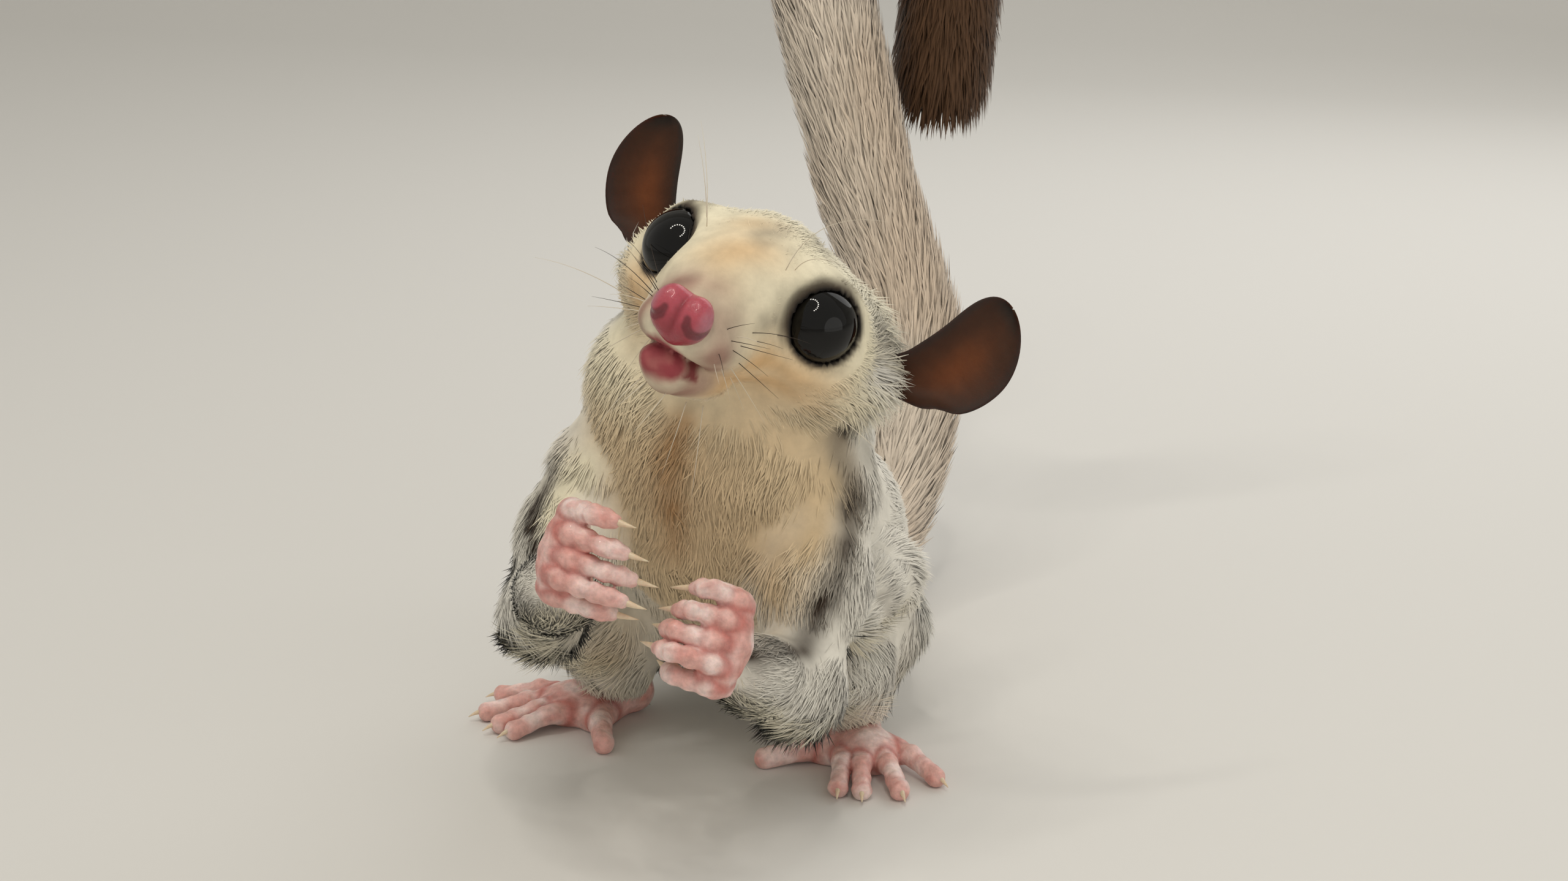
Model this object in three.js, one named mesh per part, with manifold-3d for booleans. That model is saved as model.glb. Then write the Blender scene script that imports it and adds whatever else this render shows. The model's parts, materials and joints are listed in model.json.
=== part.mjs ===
// A life-size model of a sugar glider that sits up on its hind feet, with both hands held before its
// chest, its head raised and tilted and its tail up and curled over. Units are millimetres, +Z is up, the
// animal faces -Y and its left side is +X. The soles and the rump rest on the floor at z = 0.
import * as THREE from "three";
import { mergeVertices } from "three/addons/utils/BufferGeometryUtils.js";
import Module from "manifold-3d";

const wasm = await Module();
wasm.setup();
const { Manifold, Mesh: SolidMesh } = wasm;

// Driving dimensions
const GAP = 0.3;
const CAST_SLACK = 0.2;
const EYE_RADIUS = 4.9;
const EYE_SPREAD = 9.4;
const EAR_LENGTH = 17.2;
const EAR_WIDTH = 10.6;
const EAR_THICKNESS = 0.7;
const FINGER_RADIUS = 1.12;
const FINGER_PITCH = 2.4;
const CLAW_LENGTH = 2.9;
const TOE_RADIUS = 1.3;
const TAIL_RADIUS = 8.3;

// The head's place is the point midway between the eyes.
const HEAD = { place: [12.3, -24.6, 69], yaw: 1.7, pitch: -15.5, roll: 23.5 };
const SPINE = {
  rump: [0, 23, 19],
  loin: [0.5, 8, 27],
  chest: [3.5, -10, 38],
  nape: [5.5, -13, 50],
  throat: [10.5, -14.5, 61],
};
const ARMS = {
  left: { shoulder: [17.5, -14, 41], elbow: [19.5, -26, 20], wrist: [13, -39.5, 26] },
  right: { shoulder: [-9, -18, 42], elbow: [-15, -25, 25], wrist: [-3.5, -40, 35] },
};
const LEGS = {
  left: { hip: [11, 16, 17], knee: [17, -2.5, 15], ankle: [16, 4.6, 4], turn: 26 },
  right: { hip: [-11, 16, 17], knee: [-17, -2.5, 15], ankle: [-16, 4, 4], turn: -50 },
};
const TAIL = {
  root: [0, 33, 9],
  lift: [3, 53, 13],
  rise: [4, 67, 35],
  upper: [-5, 72, 62],
  top: [-12.5, 74, 90],
  bend: [-14, 75.5, 103],
  shoulder: [-10, 77.5, 112],
  crown: [-3.5, 80.3, 115.5],
  over: [3, 83.2, 111.5],
  fall: [4, 86, 100],
  tip: [1.5, 88, 72],
};

const vec = (p) => new THREE.Vector3(...p);
const radians = THREE.MathUtils.degToRad;

// Fields: each gives the distance from a point to a surface, negative inside it

// An ellipsoid, with an optional turn in degrees about X, Y and Z
function ball(centre, radii, turn = [0, 0, 0]) {
  const c = vec(centre);
  const r = vec(radii);
  const back = new THREE.Matrix4()
    .makeRotationFromEuler(new THREE.Euler(...turn.map(radians)))
    .invert();
  const q = new THREE.Vector3();
  const s = new THREE.Vector3();
  return (p) => {
    q.copy(p).sub(c).applyMatrix4(back).divide(r);
    const k = q.length();
    s.copy(q).divide(r);
    return k < 1e-6 ? -Math.min(r.x, r.y, r.z) : (k * (k - 1)) / s.length();
  };
}

// A rod with round ends whose radius goes from ra to rb
function rod(a, b, ra, rb) {
  const from = vec(a);
  const along = vec(b).sub(from);
  const q = new THREE.Vector3();
  return (p) => {
    const t = THREE.MathUtils.clamp(q.copy(p).sub(from).dot(along) / along.lengthSq(), 0, 1);
    return q.addScaledVector(along, -t).length() - THREE.MathUtils.lerp(ra, rb, t);
  };
}

// Fields joined with a soft fillet of size k
function blend(k, ...fields) {
  return (p) =>
    fields
      .map((f) => f(p))
      .reduce((a, b) => {
        const h = Math.max(k - Math.abs(a - b), 0) / k;
        return Math.min(a, b) - (h * h * k) / 4;
      });
}

// One field with another taken out of it, with a soft edge of size k
function carve(k, body, tool) {
  return (p) => {
    const a = body(p);
    const b = -tool(p);
    const h = Math.max(k - Math.abs(a - b), 0) / k;
    return Math.max(a, b) + (h * h * k) / 4;
  };
}

const mirrored = (field) => {
  const q = new THREE.Vector3();
  return (p) => field(q.set(-p.x, p.y, p.z));
};

// Closed surfaces

// Joins rings of points and two end points into a closed surface
function closedRings(start, rings, end) {
  const sides = rings[0].length;
  const points = [start, ...rings.flat(), end];
  const last = points.length - 1;
  const faces = [];
  for (let j = 0; j < sides; j++) {
    const k = (j + 1) % sides;
    faces.push(0, 1 + k, 1 + j);
    faces.push(last, last - sides + j, last - sides + k);
    for (let i = 0; i + 1 < rings.length; i++) {
      const a = 1 + i * sides;
      const b = a + sides;
      faces.push(a + j, a + k, b + k, a + j, b + k, b + j);
    }
  }
  const geometry = new THREE.BufferGeometry().setFromPoints(points);
  geometry.setIndex(faces);
  return geometry;
}

// Joins two like grids of points, one in front of the other, into a closed sheet
function closedSheet(front, rear) {
  const rows = front.length;
  const columns = front[0].length;
  const points = [...front.flat(), ...rear.flat()];
  const half = rows * columns;
  const faces = [];
  const quad = (a, b, c, d) => faces.push(a, b, c, a, c, d);
  for (let i = 0; i + 1 < rows; i++) {
    for (let j = 0; j + 1 < columns; j++) {
      const a = i * columns + j;
      quad(a, a + 1, a + columns + 1, a + columns);
      quad(half + a, half + a + columns, half + a + columns + 1, half + a + 1);
    }
  }
  const last = (rows - 1) * columns;
  for (let j = 0; j + 1 < columns; j++) {
    quad(j, half + j, half + j + 1, j + 1);
    quad(last + j, last + j + 1, half + last + j + 1, half + last + j);
  }
  for (let i = 0; i + 1 < rows; i++) {
    const a = i * columns;
    const b = a + columns - 1;
    quad(a, a + columns, half + a + columns, half + a);
    quad(b, half + b, half + b + columns, b + columns);
  }
  const geometry = new THREE.BufferGeometry().setFromPoints(points);
  geometry.setIndex(faces);
  return geometry;
}

// The surface of a field, found by casting rays from a line inside it. The rays stand square to the
// line along its length and fan out at its two ends.
function castSkin(field, line, { sides = 20, rings = 10, caps = 5, grow = 0, reach = 60 } = {}) {
  const curve = new THREE.CatmullRomCurve3(line.map(vec), false, "centripetal");
  const { tangents, normals, binormals } = curve.computeFrenetFrames(rings, false);
  const probe = new THREE.Vector3();
  const hit = (origin, direction) => {
    let near = 0;
    let far = 0.5;
    while (far < reach && field(probe.copy(origin).addScaledVector(direction, far)) < grow) {
      near = far;
      far += 0.5;
    }
    for (let i = 0; i < 14; i++) {
      const mid = (near + far) / 2;
      if (field(probe.copy(origin).addScaledVector(direction, mid)) < grow) near = mid;
      else far = mid;
    }
    return origin.clone().addScaledVector(direction, near);
  };
  const ringAt = (i, lean) => {
    const origin = curve.getPointAt(i / rings);
    return Array.from({ length: sides }, (_, j) => {
      const angle = (2 * Math.PI * j) / sides;
      const out = normals[i].clone().multiplyScalar(Math.cos(angle));
      out.addScaledVector(binormals[i], Math.sin(angle));
      out.multiplyScalar(Math.cos(lean)).addScaledVector(tangents[i], Math.sin(lean));
      return hit(origin, out);
    });
  };
  const all = [];
  const step = Math.PI / 2 / (caps + 1);
  for (let c = caps; c >= 1; c--) all.push(ringAt(0, -c * step));
  for (let i = 0; i <= rings; i++) all.push(ringAt(i, 0));
  for (let c = 1; c <= caps; c++) all.push(ringAt(rings, c * step));
  const start = hit(curve.getPointAt(0), tangents[0].clone().negate());
  const end = hit(curve.getPointAt(1), tangents[rings]);
  return closedRings(start, all, end);
}

// A round tube through points, with a radius at each point and domed ends
function tube(points, radii, { sides = 8, rings = 8, flat = 1, normal = null } = {}) {
  const curve = new THREE.CatmullRomCurve3(points.map(vec), false, "centripetal");
  const { tangents, normals, binormals } = curve.computeFrenetFrames(rings, false);
  const radiusAt = (t) => {
    const s = t * (radii.length - 1);
    const i = Math.min(Math.floor(s), radii.length - 2);
    return THREE.MathUtils.lerp(radii[i], radii[i + 1], s - i);
  };
  const ring = (i, share, push) => {
    const r = radiusAt(i / rings);
    const side = normal ? normal.clone().cross(tangents[i]).normalize() : normals[i];
    const rise = normal ? tangents[i].clone().cross(side) : binormals[i];
    const origin = curve.getPointAt(i / rings).addScaledVector(tangents[i], push * r * flat);
    return Array.from({ length: sides }, (_, j) => {
      const angle = (2 * Math.PI * j) / sides;
      return origin
        .clone()
        .addScaledVector(side, Math.cos(angle) * r * share)
        .addScaledVector(rise, Math.sin(angle) * r * share * flat);
    });
  };
  const all = [ring(0, 0.7, -0.7)];
  for (let i = 0; i <= rings; i++) all.push(ring(i, 1, 0));
  all.push(ring(rings, 0.7, 0.7));
  const start = curve.getPointAt(0).addScaledVector(tangents[0], -radii[0] * flat);
  const end = curve.getPointAt(1).addScaledVector(tangents[rings], radii.at(-1) * flat);
  return closedRings(start, all, end);
}

// Solids

function solid(geometry, matrix = null) {
  const bare = new THREE.BufferGeometry().setAttribute("position", geometry.getAttribute("position").clone());
  if (geometry.index) bare.setIndex(geometry.index.clone());
  if (matrix) bare.applyMatrix4(matrix);
  const merged = mergeVertices(bare, 1e-4);
  const made = new Manifold(
    new SolidMesh({
      numProp: 3,
      vertProperties: merged.attributes.position.array,
      triVerts: new Uint32Array(merged.index.array),
    }),
  );
  if (made.volume() < 0) throw new Error("a surface faces inwards");
  return made;
}

function largest(shape) {
  return shape.decompose().reduce((a, b) => (b.volume() > a.volume() ? b : a));
}

const join = (...shapes) => shapes.reduce((a, b) => a.add(b));
const cut = (shape, ...tools) => largest(tools.reduce((a, b) => a.subtract(b), shape));

const FLOOR_DEPTH = 20;
const FLOOR_SIZE = 400;
const floorBlock = solid(
  mergeVertices(
    new THREE.BoxGeometry(FLOOR_SIZE, FLOOR_SIZE, FLOOR_DEPTH)
      .translate(0, 0, -FLOOR_DEPTH / 2)
      .deleteAttribute("normal")
      .deleteAttribute("uv"),
  ),
);

// Placing

const headMatrix = new THREE.Matrix4()
  .makeTranslation(...HEAD.place)
  .multiply(new THREE.Matrix4().makeRotationZ(radians(HEAD.yaw)))
  .multiply(new THREE.Matrix4().makeRotationX(radians(HEAD.pitch)))
  .multiply(new THREE.Matrix4().makeRotationY(radians(HEAD.roll)));

// The matrix that carries local X, Y and Z to a side, a reach and a rise, set at a place
function frameAt(place, reach, rise) {
  const y = reach.clone().normalize();
  const x = y.clone().cross(rise).normalize();
  const z = x.clone().cross(y);
  return new THREE.Matrix4().makeBasis(x, y, z).setPosition(vec(place));
}

// Head, in its own frame: X to its left, -Y forward, Z up

const skullField = blend(
  5,
  ball([0, 9.5, -2.6], [15.8, 13.6, 11.4]),
  ball([0, 2.5, 0.6], [9, 9, 9]),
  ball([0, -2, -3], [9.4, 10.5, 9]),
  rod([0, -4, -4.4], [0, -12.3, -5.3], 7.2, 4.4),
  ball([10.2, 7.8, -5.8], [8.4, 9, 7.8]),
  ball([-10.2, 7.8, -5.8], [8.4, 9, 7.8]),
);
const lipPads = [2.6, -2.6].map((x) => ball([x, -11.3, -7.1], [3.5, 4.4, 2.7]));
const mouthField = blend(
  1.5,
  ball([0, -12.8, -10.5], [4.6, 7.5, 1.5], [12, 0, 0]),
  ball([0, -11.8, -13.1], [6.5, 8, 3.2], [12, 0, 0]),
);
// Each eye stands in a mound, with a shallow dish before it as deep as the rim of its lids.
const eyeCentre = (side) => new THREE.Vector3(side * EYE_SPREAD, 1.2, -0.5);
const eyeAxis = (side) => new THREE.Vector3(side * 0.66, -0.74, 0.12).normalize();
const DISH_RADIUS = 9;
const globe = (centre, radius) => ball(centre.toArray(), [radius, radius, radius]);
const dish = (side) => globe(eyeCentre(side).addScaledVector(eyeAxis(side), DISH_RADIUS + 0.7), DISH_RADIUS);
const mound = (side) => globe(eyeCentre(side), EYE_RADIUS + 1.1);
const headField = [mouthField, dish(1), dish(-1)].reduce(
  (field, tool) => carve(1.2, field, tool),
  blend(2.5, skullField, mound(1), mound(-1), ...lipPads),
);
const headLine = [[0, -8, -4.5], [0, 0, -2.5], [0, 9, -1.5]];
const HEAD_MESH = { sides: 26, rings: 6, caps: 6 };
const headSkin = (grow) => solid(castSkin(headField, headLine, { ...HEAD_MESH, grow }), headMatrix);

// A matrix in the head that turns one axis to the way an eye looks and moves along it
function eyeMatrix(side, from, push) {
  const turn = new THREE.Matrix4().makeRotationFromQuaternion(
    new THREE.Quaternion().setFromUnitVectors(from, eyeAxis(side)),
  );
  turn.setPosition(eyeCentre(side).addScaledVector(eyeAxis(side), push));
  return headMatrix.clone().multiply(turn);
}

function bare(geometry) {
  geometry.deleteAttribute("normal");
  geometry.deleteAttribute("uv");
  return mergeVertices(geometry);
}

function eyeBall(side, grow = 0) {
  const sphere = bare(new THREE.SphereGeometry(EYE_RADIUS + grow, 18, 10));
  return solid(sphere, eyeMatrix(side, new THREE.Vector3(0, 1, 0), 0));
}

// The rim of the lids, a soft ring round the eye
function lidRim(side) {
  const ring = bare(new THREE.TorusGeometry(EYE_RADIUS * 0.93, 0.9, 5, 18));
  return solid(ring, eyeMatrix(side, new THREE.Vector3(0, 0, 1), EYE_RADIUS * 0.32));
}

function noseShape(grow = 0) {
  const pad = blend(
    1.0,
    ball([1.65, -16.2, -4.9], [2.1, 1.9, 2.7]),
    ball([-1.65, -16.2, -4.9], [2.1, 1.9, 2.7]),
    ball([0, -15.2, -5.6], [3, 2.1, 3.1]),
  );
  const nostril = blend(
    0.3,
    rod([1.7, -18.4, -5.7], [3.1, -17.3, -6.4], 0.5, 0.5),
    rod([3.1, -17.3, -6.4], [4, -16.1, -5.5], 0.5, 0.5),
  );
  const field = grow ? pad : carve(0.4, carve(0.4, pad, nostril), mirrored(nostril));
  const mesh = { sides: grow ? 14 : 20, rings: 1, caps: grow ? 4 : 6, grow };
  return solid(castSkin(field, [[0, -14.8, -5], [0, -15.5, -5]], mesh), headMatrix);
}

function jawShape(grow = 0) {
  const field = blend(
    1.5,
    rod([0, -3, -10.4], [0, -11.2, -12], 4.8, 2.9),
    ball([0, -12.3, -11.7], [3.4, 2.9, 2.2]),
    ball([0, -6, -11], [5.2, 6, 3.4]),
  );
  const line = [[0, -3, -11], [0, -11, -11.8]];
  return solid(castSkin(field, line, { sides: 14, rings: 5, caps: 4, grow }), headMatrix);
}

// Ears: a leaf with a round tip and a notch low on its outer edge, bent into a cup
const EARS = {
  left: { root: [18.9, 13, -4.2], aim: [0.43, 0.34, 0.84], face: [0.3, -0.94, 0.1] },
  right: { root: [-16.9, 12, -4.2], aim: [-0.44, 0.06, 0.89], face: [-0.3, -0.94, 0.1] },
};
const EAR_ROWS = 7;
const EAR_HALF_COLUMNS = 4;
const EAR_CUP = 2.8;
const EAR_WIDEST = 0.56;

function earHalfWidth(t, outer) {
  const reach = t < EAR_WIDEST ? EAR_WIDEST + 0.1 : 1 - EAR_WIDEST;
  const leaf = Math.sqrt(Math.max(0, 1 - Math.pow(Math.abs(t - EAR_WIDEST) / reach, 2.3)));
  const notch = outer ? 0.16 * Math.exp(-Math.pow((t - 0.17) / 0.07, 2)) : 0;
  return (EAR_WIDTH / 2) * Math.max(0.08, leaf - notch);
}

function earSheet(side, offset) {
  return Array.from({ length: EAR_ROWS + 1 }, (_, i) => {
    const t = 0.5 - 0.5 * Math.cos((Math.PI * i) / EAR_ROWS);
    return Array.from({ length: 2 * EAR_HALF_COLUMNS + 1 }, (_, j) => {
      const s = j / EAR_HALF_COLUMNS - 1;
      const cup = (1 - s * s) * EAR_CUP * (1 - 0.55 * t);
      const thin = 0.35 + 0.65 * (1 - s ** 4);
      return new THREE.Vector3(s * earHalfWidth(t, s * side > 0), cup - offset * thin, t * EAR_LENGTH);
    });
  });
}

function earShape(side) {
  const set = EARS[side > 0 ? "left" : "right"];
  const up = vec(set.aim).normalize();
  const front = vec(set.face);
  const back = front.clone().addScaledVector(up, -front.dot(up)).normalize().negate();
  const turn = new THREE.Matrix4().makeBasis(back.clone().cross(up), back, up).setPosition(vec(set.root));
  const leaf = closedSheet(earSheet(side, EAR_THICKNESS), earSheet(side, 0));
  return solid(leaf, headMatrix.clone().multiply(turn));
}

// Body: the torso and the neck are one skin, parted by a thin flat cut

const bodyField = blend(
  10,
  ball(SPINE.rump, [19, 17.5, 19.6]),
  ball(SPINE.loin, [22.5, 20, 20]),
  ball(SPINE.chest, [19, 17.5, 18]),
  ball(SPINE.nape, [17.5, 14.5, 13]),
  ball([3.5, -4, 42], [15, 14, 12]),
  rod(SPINE.nape, SPINE.throat, 15, 12.5),
  ball([2, -13, 56], [13, 11, 9]),
);
const bodyLine = [[0, 22, 18], [0.5, 7, 26], [3, -5, 37], [6, -10, 48], [8.5, -12.5, 58]];
const bodySkin = (grow) => solid(castSkin(bodyField, bodyLine, { sides: 24, rings: 11, caps: 4, grow }));

const NECK_CUT = { place: [5, -12, 47], up: [0.08, -0.3, 0.95] };
function halfSpace(way) {
  const up = vec(NECK_CUT.up).normalize();
  const turn = new THREE.Matrix4().makeRotationFromQuaternion(
    new THREE.Quaternion().setFromUnitVectors(new THREE.Vector3(0, 0, way), up),
  );
  turn.setPosition(vec(NECK_CUT.place).addScaledVector(up, (-way * GAP) / 2));
  const block = new THREE.BoxGeometry(FLOOR_SIZE, FLOOR_SIZE, FLOOR_SIZE).translate(0, 0, FLOOR_SIZE / 2);
  return solid(bare(block), turn);
}

// Limbs

// A limb length between two joints, thick at one end and thin at the other
function limb(from, to, startRadius, endRadius, grow, sides = 14) {
  const middle = vec(from).lerp(vec(to), 0.45).toArray();
  const field = blend(3, rod(from, to, startRadius, endRadius), ball(middle, Array(3).fill(startRadius)));
  return solid(castSkin(field, [from, middle, to], { sides, rings: 3, caps: 3, grow }));
}
const upperArm = ({ shoulder, elbow }, grow) => limb(shoulder, elbow, 9, 6.6, grow);
const forearm = ({ elbow, wrist }, grow) => limb(elbow, wrist, 6, 3.2, grow);
const thigh = ({ hip, knee }, grow) => limb(hip, knee, 11.5, 8.4, grow, 16);
const shank = ({ knee, ankle }, grow) => limb(knee, ankle, 7, 4, grow);

// The folded gliding membrane: a soft flattened fold from the elbow down the flank to the ankle
const FOLDS = {
  left: [[22, -15, 24], [21, -7, 25.5], [20, 3, 24.5], [19.5, 9, 16], [18.6, 7, 8]],
  right: [[-17.5, -18, 26], [-19.5, -8, 26.5], [-20, 3, 24.5], [-19.5, 9, 16], [-18.6, 7, 8]],
};
const FOLD_RADII = [4, 5.8, 6.6, 6.2, 4.4];
function foldSkin(line, grow) {
  const rods = line.slice(0, -1).map((p, i) => rod(p, line[i + 1], FOLD_RADII[i], FOLD_RADII[i + 1]));
  return solid(castSkin(blend(2, ...rods), line, { sides: 10, rings: 7, caps: 2, grow }));
}

// Hands, each in a frame of its own: X runs down the row of knuckles from the thumb, Y is the way the
// palm reaches and Z is the back of the hand. The fingers bend over the palm, towards -Z.
const HANDS = {
  left: {
    knuckles: [17.2, -42.3, 30.6],
    reach: [0.3, -0.87, 0.38],
    back: [0.927, 0.258, -0.249],
    curl: [52, 88, 112],
  },
  right: {
    knuckles: [-3.8, -45.8, 40.8],
    reach: [0.2, -0.95, 0.2],
    back: [-0.92, -0.24, 0.29],
    curl: [48, 80, 98],
  },
};
const FINGERS = [
  { row: -2, lengths: [2.2, 3.2, 2.4], fan: -9 },
  { row: -1, lengths: [2.8, 3.9, 2.6], fan: -4 },
  { row: 0, lengths: [3.2, 4.5, 3.0], fan: 0 },
  { row: 1, lengths: [3.2, 4.6, 3.0], fan: 3 },
  { row: 2, lengths: [2.6, 4.0, 2.7], fan: 7 },
];

// The joints of a digit that starts at a root, fans aside and bends by an angle at each joint
function digitPoints(root, lengths, fan, curl) {
  const points = [vec(root)];
  for (const [i, length] of lengths.entries()) {
    const bend = radians(curl[i]);
    const turn = radians(fan);
    const level = Math.cos(bend);
    const step = new THREE.Vector3(Math.sin(turn) * level, Math.cos(turn) * level, -Math.sin(bend));
    points.push(points.at(-1).clone().addScaledVector(step, length));
  }
  return points;
}

// A curved claw that starts inside a tip and leans by a drop
function clawTube(tip, along, drop) {
  const points = [
    tip.clone().addScaledVector(along, -0.7),
    tip.clone().addScaledVector(along, CLAW_LENGTH * 0.55),
    tip.clone().addScaledVector(along, CLAW_LENGTH).add(drop),
  ];
  return tube(points.map((p) => p.toArray()), [0.62, 0.45, 0.18], { sides: 4, rings: 2 });
}

// Joins pieces given in a local frame, mirrored across X where asked
function joinPlaced(geometries, matrix, mirror) {
  const place = matrix.clone().multiply(new THREE.Matrix4().makeScale(mirror, 1, 1));
  const solids = geometries.map((g) => {
    if (mirror < 0) g.index.array.reverse();
    return solid(g, place);
  });
  return largest(join(...solids));
}

function handShape(arm, set, mirror) {
  const matrix = frameAt(set.knuckles, vec(set.reach), vec(set.back));
  const inverse = matrix.clone().multiply(new THREE.Matrix4().makeScale(mirror, 1, 1)).invert();
  const wrist = vec(arm.wrist).applyMatrix4(inverse).toArray();
  const palmField = blend(
    2,
    ball([0, -2.6, -0.4], [FINGER_PITCH * 2.3, 3.2, 1.9]),
    rod(wrist, [0, -3, -0.6], 2.4, 2.6),
  );
  const pieces = [castSkin(palmField, [wrist, [0, -3, -0.6]], { sides: 12, rings: 3, caps: 2 })];
  const digits = FINGERS.map(({ row, lengths, fan }) => ({
    points: digitPoints([row * FINGER_PITCH, -1.2 - 0.3 * row * row, 0], lengths, fan, set.curl),
    radii: [FINGER_RADIUS, FINGER_RADIUS * 1.12, FINGER_RADIUS, FINGER_RADIUS * 1.05],
  }));
  for (const { points, radii } of digits) {
    const tip = points.at(-1);
    const along = tip.clone().sub(points.at(-2)).normalize();
    const claw = along.clone().add(new THREE.Vector3(0, 0.35, 0)).normalize();
    pieces.push(tube(points.map((p) => p.toArray()), radii, { sides: 6, rings: 4 }));
    pieces.push(clawTube(tip, claw, new THREE.Vector3(0, -0.7, 0)));
  }
  return joinPlaced(pieces, matrix, mirror);
}

// Feet, each in a frame of its own: X to the outer side, Y to the toes, Z up, with the sole on z = 0
const TOES = [
  { root: [-2.2, 8], tip: [-4.2, 17.6] },
  { root: [-0.2, 8.6], tip: [-1.4, 18.8] },
  { root: [2.0, 8.4], tip: [3.4, 19.4] },
  { root: [3.8, 6.8], tip: [8.6, 15.8] },
];
const HALLUX = [[-2.4, 4.6, 1.7], [-7.4, 6.6, 1.9], [-12.6, 7.6, 1.3]];
const HEEL_LINE = [[0, 0.5, 2.6], [0.3, 5, 2.2], [0.6, 9, 1.9]];

function footShape(matrix, mirror) {
  const soleField = blend(
    2.5,
    rod([0, 0, 3.2], [0.4, 8, 2.0], 3.2, 3.0),
    ball([0.8, 9.4, 1.9], [4.4, 3.6, 2.2]),
    rod([-1.5, 4.5, 1.6], [-4.6, 6.6, 1.4], 2.2, 1.8),
  );
  const pieces = [castSkin(soleField, HEEL_LINE, { sides: 10, rings: 4, caps: 2 })];
  for (const { root, tip } of TOES) {
    const bend = [(root[0] + tip[0]) / 2, (root[1] + tip[1]) / 2, 2.4];
    const line = [[...root, 1.9], bend, [...tip, 1.1]];
    pieces.push(tube(line, [TOE_RADIUS * 1.2, TOE_RADIUS, TOE_RADIUS * 1.05], { sides: 6, rings: 3 }));
    const along = new THREE.Vector3(tip[0] - root[0], tip[1] - root[1], 0).normalize();
    pieces.push(clawTube(new THREE.Vector3(...tip, 1.4), along, new THREE.Vector3(0, 0, -0.5)));
  }
  pieces.push(tube(HALLUX, [2, 1.5, 1.5], { sides: 7, rings: 4 }));
  return joinPlaced(pieces, matrix, mirror);
}

// Tail: one line from the rump up and over, parted into four lengths. Each is a core with rings of flat
// tapered locks that grow towards the tip.
const tailCurve = new THREE.CatmullRomCurve3(Object.values(TAIL).map(vec), false, "centripetal");
const TAIL_PARTS = {
  tail_base: [0, 0.24],
  tail_middle: [0.24, 0.5],
  tail_bend: [0.5, 0.745],
  tail_tip: [0.745, 1],
};
const TAIL_SIDES = 10;
const TAIL_RINGS = 7;
const TAIL_STEPS = 400;
const CORE_SHARE = 0.66;
const TAIL_BARE = 0.05;
const LOCK = { length: 18, width: 4.4, thickness: 1.0, pitch: 16, around: 5 };
const tailFrames = tailCurve.computeFrenetFrames(TAIL_STEPS, false);

// The coat's radius swells from the root to the middle and closes in a round end
function tailRadius(t) {
  const swell = 0.84 + 0.16 * Math.sin(Math.PI * Math.min(t * 1.6, 0.5));
  const end = Math.min(1, (1 - t) / 0.07);
  return TAIL_RADIUS * swell * Math.sqrt(Math.max(0.04, 1 - (1 - end) ** 2));
}

// A point beside the tail's line, at a share of its length, an angle round it and a distance from it
function tailPoint(t, angle, radius) {
  const step = Math.round(t * TAIL_STEPS);
  const out = tailFrames.normals[step].clone().multiplyScalar(Math.cos(angle));
  out.addScaledVector(tailFrames.binormals[step], Math.sin(angle));
  return tailCurve.getPointAt(t).addScaledVector(out, radius);
}

function tailCore(from, to) {
  const rings = Array.from({ length: TAIL_RINGS + 1 }, (_, i) => {
    const s = i / TAIL_RINGS;
    const t = THREE.MathUtils.lerp(from, to, to === 1 ? 1 - (1 - s) ** 1.6 : s);
    const radius = tailRadius(t) * CORE_SHARE;
    const turns = Array.from({ length: TAIL_SIDES }, (__, j) => (2 * Math.PI * j) / TAIL_SIDES);
    return turns.map((angle) => tailPoint(t, angle, radius));
  });
  return solid(closedRings(tailCurve.getPointAt(from), rings, tailCurve.getPointAt(to)));
}

// One lock: four sides, widest near its root, bent along the tail and closing to a tip
function tailLock(t, angle, size) {
  const length = tailCurve.getLength();
  const rings = [[-0.1, 0.5, 0.7], [0.3, 0.84, 1], [0.72, 0.97, 0.72]].map(([along, rise, wide]) => {
    const s = Math.min(t + (along * LOCK.length * size) / length, 0.999);
    const radius = tailRadius(Math.min(s, 0.97)) * rise;
    const half = (LOCK.width * size * wide) / radius;
    const thick = (LOCK.thickness * wide) / 2;
    return [
      tailPoint(s, angle - half, radius - 0.3),
      tailPoint(s, angle, radius + thick),
      tailPoint(s, angle + half, radius - 0.3),
      tailPoint(s, angle, radius - thick),
    ];
  });
  const end = Math.min(t + (LOCK.length * size) / length, 1);
  const start = tailPoint(Math.max(0, t - (0.13 * LOCK.length) / length), angle, tailRadius(t) * 0.4);
  return solid(closedRings(start, rings, tailPoint(end, angle, tailRadius(Math.min(end, 0.97)))));
}

// A steady stream of shares between 0 and 1
function seeded(seed) {
  let state = seed;
  return () => {
    state = (state * 16807) % 2147483647;
    return state / 2147483647;
  };
}

function tailLength(name) {
  const [from, to] = TAIL_PARTS[name];
  const length = tailCurve.getLength();
  const trim = GAP / 2 / length;
  const a = from === 0 ? 0 : from + trim;
  const b = to === 1 ? 1 : to - trim;
  const random = seeded(7 + Math.round(from * 100));
  const pieces = [tailCore(a, b)];
  const rows = Math.round(((b - a) * length) / LOCK.pitch);
  for (let i = 0; i < rows; i++) {
    for (let j = 0; j < LOCK.around; j++) {
      const t = a + ((i + 0.25 + 0.2 * random()) / rows) * (b - a);
      const angle = (2 * Math.PI * (j + 0.5 * (i % 2) + 0.2 * random())) / LOCK.around;
      const size = Math.min(0.9 + 0.2 * random(), ((b - t) * length - GAP) / LOCK.length);
      if (size > 0.35 && t > TAIL_BARE) pieces.push(tailLock(t, angle, size));
    }
  }
  return largest(join(...pieces));
}

// Parts, each cut clear of what it grows from

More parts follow.
